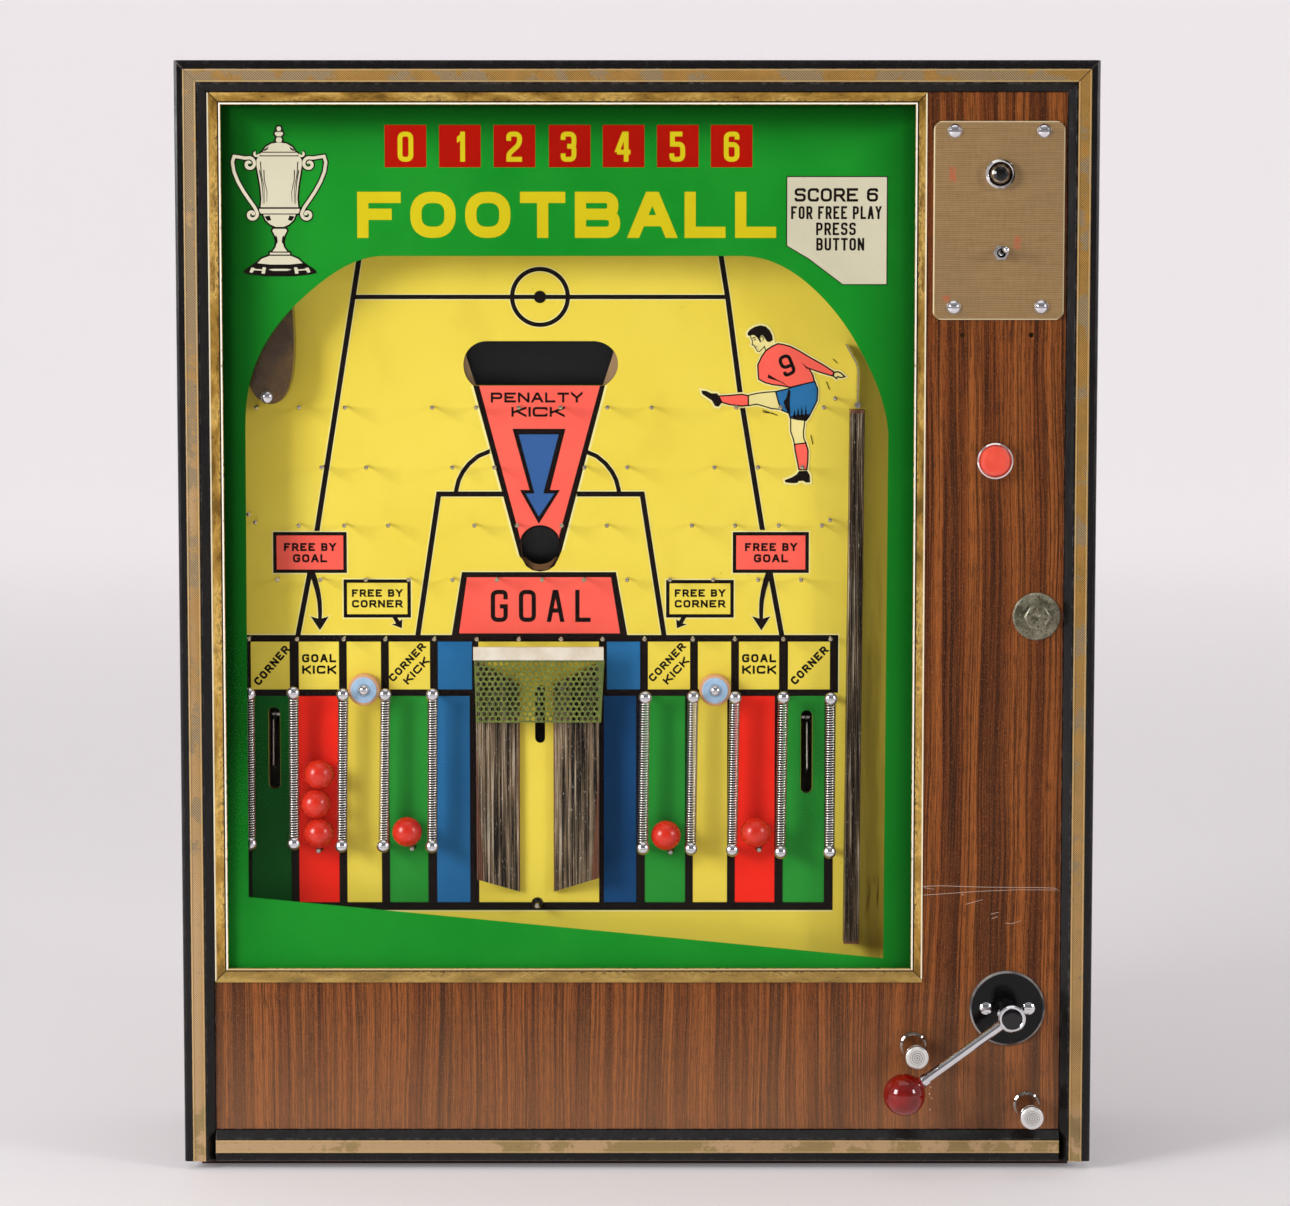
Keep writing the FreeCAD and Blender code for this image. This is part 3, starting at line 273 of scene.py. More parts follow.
def teak_laminate():
    """Straight-grained teak print: bands, dark streaks and short pores that all run up and down."""
    m = Nodes("teak_laminate")
    m.set(Specular_IOR_Level=0.16)
    sway = m.minus(m.noise(3.0, 2, (2.2, 1, 1)), 0.5)
    kink = m.minus(m.noise(16, 2, (1.5, 1, 0.5)), 0.5)
    shift = m.nt.nodes.new("ShaderNodeCombineXYZ")
    m.link(m.plus(m.times(sway, 0.018), m.times(kink, 0.0030)), shift.inputs[0])
    vec = m.vector("ADD", m.obj, shift.outputs[0])
    tone = m.noise(70, 3, (1, 1, 0.006), rough=0.6, vec=vec)
    lines = m.noise(150, 2, (1, 1, 0.006), rough=0.5, vec=vec)
    hair = m.noise(430, 3, (1, 1, 0.008), rough=0.55, vec=vec)
    wide = m.noise(74, 1, (1, 1, 0.010), rough=0.4, vec=vec)
    fine = m.noise(290, 1, (1, 1, 0.005), rough=0.5, vec=vec)
    pores = m.noise(1500, 2, (1, 1, 0.05), rough=0.6, vec=vec)
    flecks = m.noise(1100, 2, (1, 1, 0.5), vec=vec)
    base = m.ramp(tone, [(0.28, (84, 42, 17)), (0.42, (120, 62, 25)), (0.55, (152, 86, 38)),
                         (0.70, (112, 58, 25))])
    base = m.mix(m.ramp(wide, [(0.56, 0.0), (0.62, 0.42), (0.70, 0.6)]), base, (60, 31, 15))
    line = m.ramp(lines, [(0.452, 0.0), (0.478, 0.82), (0.500, 0.0)])
    line = m.larger(line, m.ramp(lines, [(0.585, 0.0), (0.605, 0.7), (0.62, 0.0)]))
    line = m.larger(line, m.ramp(fine, [(0.485, 0.0), (0.505, 0.75), (0.525, 0.0)]))
    base = m.mix(line, base, (26, 12, 6))
    base = m.mix(m.fade(hair, 0.50, 0.60, 0.0, 0.62), base, (40, 18, 8))
    base = m.mix(m.fade(pores, 0.52, 0.60, 0.0, 0.55), base, (34, 15, 8))
    base = m.mix(m.fade(flecks, 0.55, 0.70, 0.0, 0.28), base, (186, 116, 62))
    faded = m.steps(m.mm("Z"), (30, 0.42), (150, 0.0))
    base = m.mix(faded, base, m.mix(0.55, base, (186, 140, 106)))
    return m.set(Base_Color=base, Roughness=m.fade(pores, 0.3, 0.7, 0.30, 0.44),
                 Normal=m.bump(m.plus(pores, m.times(lines, 0.6)), 0.08, 0.0001))


# The window trim runs round this opening; its section is a patinated band with a polished bead on the inner edge,
# and that bead and the side rails' outer lip are painted near-white as highlights.
TRIM_OPENING = (-303.2, 202.6, 151.0, 787.2)
TRIM_OUTSIDE = (-313.2, 211.2)


def aged_brass():
    m = Nodes("aged_brass")
    x0, x1, z0, z1 = TRIM_OPENING
    across = m.minus(m.absolute(m.mm("X", (x0 + x1) / 2)), (x1 - x0) / 2)
    up = m.minus(m.absolute(m.mm("Z", (z0 + z1) / 2)), (z1 - z0) / 2)
    out = m.larger(across, up)
    side = m.math("GREATER_THAN", across, up)
    along = m.mix(side, m.axis("X"), m.axis("Z"))
    spot = m.nt.nodes.new("ShaderNodeCombineXYZ")
    m.link(m.times(out, 0.0030), spot.inputs[0])
    m.link(along, spot.inputs[1])
    m.link(m.times(side, 3.7), spot.inputs[2])
    cloud = m.noise(26, 4, rough=0.6, vec=spot.outputs[0])
    grit = m.noise(260, 5, rough=0.65, vec=spot.outputs[0])
    brush = m.noise(1300, 3)
    band = m.ramp(cloud, [(0.34, (132, 98, 34)), (0.47, (190, 146, 62)), (0.60, (232, 190, 100)),
                          (0.70, (158, 120, 54))])
    low = m.times(m.steps(m.mm("Z"), (z0 + 2, 1.0), (z0 + 6, 0.0)), m.minus(1.0, side))
    mitre = m.steps(m.absolute(m.minus(across, up)), (0.35, 1.0), (0.6, 0.0))
    band = m.mix(m.times(low, 0.5), band, m.mix(grit, (96, 84, 46), (176, 152, 92)))
    inner = m.steps(out, (2.0, 1.0), (5.0, 0.45), (9.4, 0.10))
    black_spots = m.times(m.fade(grit, 0.48, 0.58),
                         m.fade(cloud, 0.42, 0.58, 0.3))
    band = m.mix(m.times(black_spots, inner), band, (52, 34, 12))
    groove = m.steps(out, (1.45, 0.0), (1.65, 1.0), (2.3, 1.0), (2.8, 0.0))
    bead = m.steps(out, (0.30, 0.0), (0.45, 1.0), (1.40, 1.0), (1.55, 0.0))
    x2, x3 = TRIM_OUTSIDE
    rim = m.minus((x3 - x2) / 2, m.absolute(m.mm("X", (x2 + x3) / 2)))
    lip = m.times(side, m.steps(rim, (0.9, 1.0), (1.2, 0.0)))
    colour = m.mix(m.larger(groove, mitre), band, (38, 22, 10))
    # Painted highlight: the bead is near-white and barely metallic, so it reads as lit.
    bead_highlight = m.mix(m.fade(grit, 0.60, 0.68), (255, 250, 232), (172, 140, 86))
    colour = m.mix(bead, colour, m.mix(m.times(low, 0.85), bead_highlight, (196, 162, 92)))
    # Painted highlight along the outer lip of the side rails.
    colour = m.mix(m.times(lip, 0.85), colour, (255, 246, 214))
    shine = m.larger(bead, m.times(lip, 0.9))
    return m.set(Base_Color=colour, Metallic=m.fade(shine, 0.0, 1.0, 0.55, 0.05),
                 Roughness=m.fade(m.minus(cloud, m.times(shine, 0.15)), 0.2, 0.6, 0.16, 0.40),
                 Normal=m.bump(m.plus(m.times(brush, 0.3), grit), 0.10, 0.0002))


def clear_glass():
    m = Nodes("clear_glass")
    smear = m.noise(9, 5, (1, 1, 0.5))
    m.set(Base_Color=m.ramp(smear, [(0.4, (214, 224, 218)), (0.7, (236, 242, 238))]),
          Roughness=m.fade(smear, 0.3, 0.75, 0.01, 0.05))
    return m.set(Metallic=1.0, Alpha=0.003)


def printed(name, rgb, second=None, rough=0.5, speck=0.25, specular=0.04):
    """Screen-printed ink: slight mottling, tiny specks and a soft sheen."""
    m = Nodes(name)
    r, g, b = rgb
    m.set(Specular_IOR_Level=specular)
    second = second or (int(r * 0.92), int(g * 0.92), int(b * 0.90))
    mottle = m.noise(14, 6, rough=0.6)
    speckle = m.fade(m.noise(420, 3), 0.68, 0.76, 0.0, speck)
    base = m.mix(m.fade(mottle, 0.35, 0.68), rgb, second)
    return m.set(Base_Color=m.mix(speckle, base, tuple(c * 0.4 for c in srgb(*rgb))),
                 Roughness=m.fade(mottle, 0.3, 0.7, rough - 0.06, rough + 0.08),
                 Normal=m.bump(m.noise(900, 2), 0.04, 0.0001))


def mask_ink():
    """Green ink on the back of the glass, with the frame's shadow painted in as darker green towards the frame."""
    m = Nodes("mask_green")
    x0, x1, _, z1 = TRIM_OPENING
    drift = m.times(m.noise(9, 2), 10.0)
    left = m.steps(m.minus(m.mm("X", x0), drift), (0.0, 1.0), (13.0, 0.86), (36.0, 0.22), (62.0, 0.0))
    top = m.steps(m.minus(m.times(m.mm("Z", z1), -1.0), m.times(drift, 0.3)),
                  (0.0, 1.0), (8.0, 0.88), (24.0, 0.28), (42.0, 0.0))
    right = m.steps(m.times(m.mm("X", x1), -1.0), (0.0, 0.74), (20.0, 0.42), (48.0, 0.0))
    left = m.times(left, m.steps(m.mm("Z"), (150.0, 0.15), (330.0, 1.0)))
    # Painted shadow of the frame: darkest at the opening's left, top and right edges, fading inward, and weaker low
    # on the left.
    painted_frame_shadow = m.larger(m.larger(left, top), right)
    mottle = m.noise(14, 6, rough=0.6)
    ink = m.mix(m.fade(mottle, 0.35, 0.68), (28, 142, 40), (18, 133, 34))
    speckle = m.fade(m.noise(420, 3), 0.68, 0.76, 0.0, 0.12)
    ink = m.mix(painted_frame_shadow, ink, m.mix(0.04, (2, 58, 6), ink))
    m.set(Base_Color=m.mix(speckle, ink, (4, 70, 16)), Roughness=m.fade(mottle, 0.3, 0.7, 0.44, 0.58),
          Normal=m.bump(m.noise(900, 2), 0.04, 0.0001))
    return m.set(Specular_IOR_Level=0.03)


def playfield_paint():
    m = Nodes("playfield_paint")
    m.set(Specular_IOR_Level=0.05)
    mottle = m.noise(9, 6, rough=0.55)
    grime_and_shade = m.fade(m.noise(30, 6, (1, 1, 0.6)), 0.55, 0.8, 0.0, 0.22)
    paint = m.mix(m.fade(mottle, 0.32, 0.7), (236, 215, 84), (230, 207, 72))
    paint = m.mix(grime_and_shade, paint, (190, 162, 60))
    paint = m.mix(m.fade(m.noise(520, 2), 0.72, 0.78, 0.0, 0.5), paint, (120, 92, 40))
    lane = m.times(m.steps(m.mm("X"), (166, 0.0), (172, 1.0), (184, 1.0), (190, 0.4)),
                  m.fade(m.noise(60, 5, (1, 1, 0.08)), 0.45, 0.62, 0.0, 0.55))
    paint = m.mix(lane, paint, (150, 120, 40))
    rub = m.times(m.steps(m.radial((182.5, 196.0)), (0, 1.0), (22, 0.0)),
                 m.fade(m.noise(300, 5, (1.4, 1, 0.12)), 0.56, 0.62))
    paint = m.mix(rub, paint, (112, 52, 22))
    ply = m.mix(m.noise(90, 5, (0.2, 4, 1)), (70, 46, 28), (136, 100, 64))
    depth = m.steps(m.mm("Y", PLAY_Y / MM), (0.05, 0.0), (0.12, 1.0))
    return m.set(Base_Color=m.mix(depth, paint, ply), Roughness=m.fade(depth, 0.0, 1.0, 0.42, 0.75),
                 Normal=m.bump(m.noise(160, 6), 0.05, 0.0002))


def chrome(name="chrome", tint=(226, 226, 230), rough=0.08, dirt=0.35):
    m = Nodes(name)
    haze = m.noise(120, 5)
    pit = m.fade(m.noise(900, 3), 0.66, 0.76, 0.0, dirt)
    return m.set(Base_Color=m.mix(pit, tint, (96, 88, 78)), Metallic=1.0,
                 Roughness=m.fade(haze, 0.35, 0.75, rough, rough + 0.12),
                 Normal=m.bump(haze, 0.02, 0.0001))


def spring_wire():
    """Bright round wire; the flanks that face the next turn of the coil are painted near-black and dull as the shade
    between the turns.
    """
    m = Nodes("spring_wire")
    haze = m.noise(120, 5)
    flank = m.absolute(m.axis("Z", m.coord.outputs["Normal"]))
    # Painted shade between the turns: darker and less metallic where the wire's face points along the coil.
    grime_and_shade = m.times(m.fade(flank, 0.45, 0.78), m.fade(haze, 0.3, 0.7, 0.98, 0.86))
    return m.set(Base_Color=m.mix(grime_and_shade, (242, 238, 230), (26, 18, 12)), Metallic=m.fade(grime_and_shade, 0.0, 1.0, 1.0, 0.2),
                 Roughness=m.fade(haze, 0.35, 0.75, 0.08, 0.20), Normal=m.bump(haze, 0.02, 0.0001))


def zinc():
    """Dull pitted plating, near-white along its convex edges."""
    m = Nodes("zinc")
    pits = m.noise(520, 5, rough=0.7)
    stain = m.fade(m.noise(150, 5), 0.38, 0.62)
    base = m.mix(stain, (150, 146, 124), (92, 88, 68))
    base = m.mix(m.fade(pits, 0.36, 0.45, 1.0, 0.0), base, (44, 40, 30))
    base = m.mix(m.fade(pits, 0.60, 0.68), base, (206, 200, 172))
    base = m.mix(m.times(m.edge(0.0006), 0.9), base, (246, 244, 232))
    return m.set(Base_Color=base, Metallic=0.8, Roughness=m.fade(pits, 0.3, 0.7, 0.52, 0.30),
                 Normal=m.bump(pits, 0.25, 0.0003))


def ringed_metal(name, centres):
    """Bright turned metal: fine machining rings round each axis, duller in the grooves."""
    m = Nodes(name)
    r = m.radial(*centres)
    rings = m.plus(m.times(m.math("SINE", m.times(r, 3.9)), 0.5), 0.5)
    haze = m.noise(260, 5)
    tone = m.times(rings, m.steps(r, (0.0, 1.0), (4.6, 0.9), (6.4, 0.0)))
    base = m.mix(tone, (232, 231, 228), (146, 142, 138))
    base = m.mix(m.fade(haze, 0.60, 0.72, 0.0, 0.5), base, (112, 104, 96))
    face = m.steps(r, (8.2, 1.0), (8.35, 0.0))
    return m.set(Base_Color=m.mix(face, (150, 140, 132), base), Metallic=m.fade(face, 0.0, 1.0, 1.0, 0.85),
                 Roughness=m.times(m.fade(face, 0.0, 1.0, 0.12), m.fade(haze, 0.3, 0.7, 0.24, 0.42)),
                 Normal=m.bump(m.times(rings, face), 0.25, 0.0002))


def bezel_metal():
    """Chrome, with the shade in the recess just inside the black button's ring painted as a dark band."""
    m = Nodes("bezel_metal")
    haze = m.noise(160, 5)
    pit = m.fade(m.noise(900, 3), 0.64, 0.74, 0.0, 0.5)
    base = m.mix(pit, (232, 230, 228), (88, 78, 66))
    # Painted shade: a dark band where the recess round the black button lies in shadow.
    painted_recess_shade = m.steps(m.radial(BLACK_BUTTON), (8.7, 1.0), (9.0, 0.0))
    base = m.mix(painted_recess_shade, base, (40, 30, 22))
    return m.set(Base_Color=base, Metallic=1.0, Roughness=m.fade(haze, 0.35, 0.75, 0.06, 0.2),
                 Normal=m.bump(haze, 0.03, 0.0001))


def button_black():
    """Black domed button with a dull tan ring round it."""
    m = Nodes("button_black")
    scuff = m.noise(300, 6)
    r = m.radial(BLACK_BUTTON)
    ring = m.steps(r, (5.2, 0.0), (5.5, 1.0), (7.0, 1.0), (7.3, 0.0))
    tan = m.mix(m.fade(m.noise(220, 4), 0.4, 0.6), (176, 156, 128), (84, 62, 44))
    return m.set(Base_Color=m.mix(ring, m.mix(scuff, (6, 6, 7), (16, 15, 16)), tan),
                 Metallic=m.fade(ring, 0.0, 1.0, 0.0, 0.6),
                 Roughness=m.fade(scuff, 0.35, 0.75, 0.10, 0.22),
                 Normal=m.bump(scuff, 0.03, 0.0001))


def tufnol():
    """Laminated board: fine level threads, a pale highlight painted along its edge and two old smears of red ink."""
    m = Nodes("woven_plate")
    lines = m.wave(235, None, "Z", distort=0.35)
    threads = m.noise(900, 3, (0.06, 1, 1))
    weft = m.noise(420, 3, (1, 1, 0.25))
    blotch = m.noise(16, 5)
    cloth = m.plus(m.times(lines, 0.34),
                   m.plus(m.times(threads, 0.4), m.times(weft, 0.25)))
    base = m.ramp(cloth, [(0.22, (118, 92, 54)), (0.74, (162, 131, 88))])
    base = m.mix(m.fade(blotch, 0.42, 0.75, 0.0, 0.35), base, (128, 104, 70))
    for x, z, half in ((229.8, 736.6, 6.4), (277.3, 687.5, 5.6), (225.6, 646.4, 3.0)):
        across = m.absolute(m.mm("X", x))
        up = m.absolute(m.mm("Z", z))
        smear = m.times(m.steps(across, (1.8, 1.0), (3.0, 0.0)), m.steps(up, (half - 2, 1.0), (half, 0.0)))
        smear = m.times(smear, m.fade(m.noise(300, 3), 0.35, 0.6, 0.15, 0.62))
        base = m.mix(smear, base, (196, 78, 48))
    (x0, _, z0), (x1, _, z1) = (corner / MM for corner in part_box("coin_plate"))
    edge = m.larger(m.minus(m.absolute(m.mm("X", (x0 + x1) / 2)), (x1 - x0) / 2 - 0.95),
                  m.minus(m.absolute(m.mm("Z", (z0 + z1) / 2)), (z1 - z0) / 2 - 0.95))
    # Painted highlight: a pale band along the plate's outer edge and on its convex edges.
    rim = m.larger(m.steps(edge, (0.0, 0.0), (0.2, 1.0)), m.edge(0.0008))
    base = m.mix(m.times(rim, 0.85), base, (226, 210, 168))
    return m.set(Base_Color=base, Roughness=m.fade(cloth, 0.2, 0.8, 0.30, 0.42), Normal=m.bump(cloth, 0.18, 0.0001))


def worn_alloy(name, light, dark, rust, rusty=None):
    """Old ribbed alloy: up-and-down streaks from near-black to pale cream, darker clouds and pale specks; where the
    given mask says, bare timber or rust shows instead.
    """
    m = Nodes(name)
    streak = m.noise(420, 4, (1, 1, 0.018), rough=0.65)
    cloud = m.noise(38, 5, (1, 1, 0.35), rough=0.6)
    speck = m.noise(900, 3, (1, 1, 0.4))
    base = m.ramp(streak, [(0.43, dark), (0.56, light), (0.64, (222, 212, 190))])
    base = m.mix(m.fade(cloud, 0.44, 0.64, 0.0, 0.62), base, tuple(c * 0.35 for c in srgb(*dark)))
    base = m.mix(m.fade(speck, 0.64, 0.70, 0.0, 0.8), base, (214, 208, 190))
    metal = m.fade(cloud, 0.3, 0.7, 0.75, 0.45)
    if rusty is not None:
        bare = rusty(m)
        wood = m.mix(m.noise(500, 4, (1, 1, 0.15)), rust,
                     tuple(c * 0.35 for c in srgb(*rust)))
        base = m.mix(bare, base, wood)
        metal = m.mix(bare, metal, (0.0, 0.0, 0.0))
    return m.set(Base_Color=base, Metallic=metal, Roughness=m.fade(streak, 0.3, 0.7, 0.55, 0.28),
                 Normal=m.bump(m.plus(streak, m.times(speck, 0.5)), 0.30, 0.0003))


def bumper_disc():
    """Pale blue cap on a pinkish collar, with each screw head's shadow painted as a darker ring round it."""
    m = Nodes("bumper_disc")
    cloud = m.noise(160, 4)
    r = m.radial(*BUMPERS)
    cap = m.mix(m.fade(cloud, 0.35, 0.7), (166, 196, 222), (146, 178, 208))
    # Painted shadow: a darker ring round the screw head.
    cap = m.mix(m.steps(r, (4.2, 1.0), (5.4, 0.0)), cap, (120, 146, 170))
    cap = m.mix(m.steps(r, (8.8, 0.0), (9.6, 0.7)), cap, (196, 206, 214))
    collar = m.mix(cloud, (232, 178, 132), (206, 150, 104))
    m.set(Base_Color=m.mix(m.steps(r, (9.72, 0.0), (9.8, 1.0)), cap, collar),
          Roughness=m.fade(cloud, 0.3, 0.7, 0.3, 0.42), Normal=m.bump(cloud, 0.05, 0.0001))
    return m.set(Subsurface_Weight=0.15, Subsurface_Radius=(0.003, 0.002, 0.0015))


def gloss_plastic(name, rgb, rough=0.18, second=None, subsurface=0.0, coat=0.0):
    m = Nodes(name)
    r, g, b = rgb
    second = second or (int(r * 0.8), int(g * 0.8), int(b * 0.8))
    cloud = m.noise(60, 4)
    scuff = m.noise(300, 6)
    m.set(Base_Color=m.mix(m.fade(cloud, 0.35, 0.7), rgb, second),
          Roughness=m.fade(scuff, 0.35, 0.75, rough, rough + 0.14),
          Normal=m.bump(scuff, 0.03, 0.0001))
    return m.set(Subsurface_Weight=subsurface, Subsurface_Radius=(0.01, 0.002, 0.001), Coat_Weight=coat)


def escutcheon():
    """Black gloss disc with a pale highlight painted in broken patches on its bevelled rim."""
    m = Nodes("escutcheon_black")
    scuff = m.noise(300, 6)
    rim = m.steps(m.radial(LEVER_AT), (26.4, 0.0), (26.7, 1.0))
    # Painted highlight: a pale grey band, broken by noise, round the outer rim.
    wear_and_glint = m.times(rim, m.fade(m.noise(60, 5), 0.40, 0.60, 0.25))
    m.set(Base_Color=m.mix(wear_and_glint, m.mix(scuff, (6, 6, 7), (14, 13, 14)), (150, 146, 142)),
          Roughness=m.fade(scuff, 0.35, 0.75, 0.08, 0.2), Normal=m.bump(scuff, 0.03, 0.0001))
    return m.set(Specular_IOR_Level=0.22)


def stained_wood(name, light, dark, rough=0.5):
    m = Nodes(name)
    grain = m.noise(120, 6, (1, 1, 0.04), rough=0.6)
    cloud = m.noise(7, 4)
    base = m.ramp(grain, [(0.3, dark), (0.65, light)])
    base = m.mix(m.fade(cloud, 0.4, 0.75, 0.0, 0.4), base, dark)
    base = m.mix(m.times(m.edge(0.001), 0.35), base, tuple(min(1.0, c * 2.2) for c in srgb(*light)))
    return m.set(Base_Color=base, Roughness=m.fade(grain, 0.3, 0.7, rough - 0.06, rough + 0.1),
                 Normal=m.bump(grain, 0.15, 0.0002))


def channel_inside():
    m = Nodes("channel_black_and_ply")
    ply = m.mix(m.noise(140, 5, (1, 1, 0.06)), (150, 116, 78), (202, 172, 126))
    speck = m.fade(m.noise(500, 3), 0.70, 0.76, 0.0, 0.5)
    black = m.mix(speck, (10, 12, 13), (80, 84, 82))
    back_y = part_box("playfield_board")[1][1]
    depth = m.fade(m.times(m.minus(m.axis("Y"), back_y), 1000.0), 0.2, 0.6)
    return m.set(Base_Color=m.mix(depth, ply, black), Roughness=m.fade(depth, 0.0, 1.0, 0.7, 0.28))


def net_green():
    m = Nodes("net_green")
    blotch = m.noise(50, 6)
    chips = m.fade(m.noise(700, 4), 0.60, 0.70, 0.0, 0.6)
    base = m.mix(m.fade(blotch, 0.35, 0.7), (108, 120, 40), (74, 88, 30))
    return m.set(Base_Color=m.mix(chips, base, (176, 170, 104)), Metallic=0.1,
                 Roughness=m.fade(blotch, 0.3, 0.7, 0.42, 0.6), Normal=m.bump(blotch, 0.1, 0.0002))


BLACK_BUTTON = (264.2, 737.1)
LEVER_AT = (274.6, 120.9)
BUMPERS = [(-203.4, 355.5), (57.8, 355.2)]
STOPS = [(204.9, 93.2), (289.4, 48.4)]

CHROME = chrome()
STEEL = chrome("spring_steel", (176, 172, 166), 0.22, 0.5)
INK = printed("ink_black", (22, 16, 14), (28, 20, 17), rough=0.5, speck=0.0)
HALO = printed("ink_halo", (246, 236, 160))
CORAL = printed("ink_coral", (250, 104, 88), (244, 94, 80))
LANE_RED = printed("ink_red", (250, 46, 30), (242, 40, 26))
LANE_GREEN = printed("ink_green", (44, 150, 54), (38, 140, 48))
OUTER_GREEN = printed("ink_outer_green", (18, 98, 30), (14, 88, 24))
LANE_BLUE = printed("ink_blue", (46, 114, 166), (38, 104, 156))
RIGHT_BLUE = printed("ink_right_blue", (24, 74, 122), (20, 64, 110))
ARROW_BLUE = printed("ink_arrow_blue", (58, 98, 156), (52, 90, 146))
YELLOW = printed("ink_yellow", (236, 215, 84), (230, 207, 74))
TITLE_YELLOW = printed("ink_title", (208, 192, 26), (200, 182, 22))
CREAM = printed("ink_cream", (208, 203, 176), (198, 193, 166))
SKIN = printed("ink_skin", (240, 226, 150))

give(black_paint(), "frame_stiles", "frame_rails")
give(gold_weave(), "frame_gold_inlay")
give(teak_laminate(), "panel_laminate")
give(aged_brass(), "window_trim")
give(clear_glass(), "window_glass")
give(mask_ink(), "glass_mask")
give(printed("score_red", (170, 18, 3), (154, 12, 2)), "score_windows")
give(playfield_paint(), "playfield_board")
give(CHROME, "spring_posts", "slotted_screws", "lever_arm", "toggle_lever")
give(chrome("nail_steel", (214, 204, 178), 0.2, 0.7), "playfield_nails")
give(bezel_metal(), "control_bezels")
give(ringed_metal("stop_faces", STOPS), "lever_stops")
give(STEEL, "arch_rail", "gate_leaf", "slot_wire_left", "slot_wire_right", "slot_wire_centre", "release_bar",
     "release_solenoid", "hinge_leaf_case", "hinge_leaf_door", "lock_keeper", "lever_hammer", "transformer_core")
give(zinc(), "lock_bolt", "lock_washer")
give(tufnol(), "coin_plate")
give(escutcheon(), "lever_escutcheon")
give(button_black(), "black_button_cap")
give(gloss_plastic("knob_red", (142, 14, 5), 0.05, (96, 8, 3), coat=0.25), "lever_knob")
give(gloss_plastic("button_red", (240, 88, 64), 0.3, (226, 66, 46), subsurface=0.2, coat=0.2), "red_button_cap")
give(gloss_plastic("ball_red", (218, 44, 20), 0.2, (194, 32, 14), subsurface=0.05),
     "ball_stack", "ball_second_lane", "ball_third_lane", "ball_fourth_lane")
give(bumper_disc(), "bumpers")
give(gloss_plastic("crossbar_white", (226, 218, 200), 0.45, (204, 190, 164)), "goal_crossbar")
give(net_green(), "goal_net")
give(gloss_plastic("pad_brown", (84, 60, 22), 0.22, (58, 38, 16), coat=0.3), "rebound_pad")
give(channel_inside(), "penalty_channel")
give(stained_wood("case_red", (92, 40, 28), (48, 20, 16), 0.42), "case_sides", "case_top_and_floor")
give(stained_wood("case_ply", (164, 124, 84), (112, 80, 52), 0.7), "case_back", "case_corner_blocks", "lamp_box")
give(stained_wood("batten_wood", (186, 146, 96), (128, 92, 58), 0.7), "playfield_battens", "return_rail",
     "door_board")
give(gloss_plastic("switch_black", (22, 22, 24), 0.45), "microswitches", "cable_gland")
give(gloss_plastic("winding_brown", (120, 66, 30), 0.4), "transformer_winding")
give(gloss_plastic("lamp_glass", (236, 226, 196), 0.1), "score_lamps")


# ================================================================ pieces that stand in for CAD solids
def piece(name, mesh, material, body, *nodes):
    mesh.materials.append(material)
    obj = bpy.data.objects.new(name, mesh)
    bpy.context.scene.collection.objects.link(obj)
    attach(obj, body)
    if nodes:
        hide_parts(*nodes)


def finished(bm, name, smooth=False):
    """The mesh of a closed bmesh; smooth rounds its four-sided faces and leaves its end caps flat."""
    bmesh.ops.recalc_face_normals(bm, faces=bm.faces)
    mesh = bpy.data.meshes.new(name)
    bm.to_mesh(mesh)
    bm.free()
    for poly in mesh.polygons:
        poly.use_smooth = smooth and len(poly.vertices) == 4
    return mesh


def tube_mesh(name, paths, radius, sides):
    """Round wire along each list of points, with closed ends."""
    bm = bmesh.new()
    for path in paths:
        rings = []
        side = None
        for i, p in enumerate(path):
            ahead = (path[min(i + 1, len(path) - 1)] - path[max(i - 1, 0)]).normalized()
            side = (side - ahead * side.dot(ahead) if side else ahead.orthogonal()).normalized()
            other = ahead.cross(side)
            rings.append([bm.verts.new(p + (side * math.cos(t) + other * math.sin(t)) * radius)
                          for t in turns(sides)])
        for a, b in zip(rings, rings[1:]):
            for k in range(sides):
                bm.faces.new((a[k], b[k], b[(k + 1) % sides], a[(k + 1) % sides]))
        bm.faces.new(rings[0])
        bm.faces.new(rings[-1][::-1])
    return finished(bm, name, smooth=True)


def turns(n):
    return [2 * math.pi * k / n for k in range(n)]


def at(x, d, z):
    """A point from mm: across, back from the door's front face, and up."""
    return Vector((x * MM, FRONT_Y + d * MM, z * MM))


# Lane springs: each is one closely wound coil stretched between its two posts.
SPRINGS = [((-288.1, 353.4), (-288.1, 241.2)), ((-255.4, 354.2), (-255.7, 241.2)),
           ((-218.6, 352.9), (-220.2, 239.4)), ((-187.2, 352.9), (-189.2, 239.4)),
           ((-152.0, 352.9), (-152.9, 239.1)), ((5.9, 350.7), (4.1, 237.8)), ((41.5, 351.2), (39.9, 237.3)),
           ((72.6, 350.7), (70.6, 236.3)), ((108.5, 350.7), (106.7, 234.8)), ((143.7, 349.8), (143.1, 235.0))]
SPRING_D, COIL_R, WIRE_R, COIL_PITCH = 31.0, 3.80, 0.50, 1.85
coils = []
for k, (top, bottom) in enumerate(SPRINGS):
    a, b = at(bottom[0], SPRING_D, bottom[1]), at(top[0], SPRING_D, top[1])
    along = (b - a).normalized()
    u = along.orthogonal().normalized()
    v = along.cross(u)
    a, b = a + along * 2.9 * MM, b - along * 2.9 * MM
    count = round((b - a).length / (COIL_PITCH * MM))
    coil = []
    for j in range(count * 14 + 1):
        t = 2 * math.pi * j / 14 + k
        sag = 1 + 0.012 * noise.noise(Vector((k * 7.1, j * 0.03, 0.5)))
        coil.append(a.lerp(b, j / (count * 14)) + (u * math.cos(t) + v * math.sin(t)) * COIL_R * sag * MM)
    coils.append(coil)
piece("lane_spring_coils", tube_mesh("lane_spring_coils", coils, WIRE_R * MM, 7),
      spring_wire(), "door", "lane_springs")


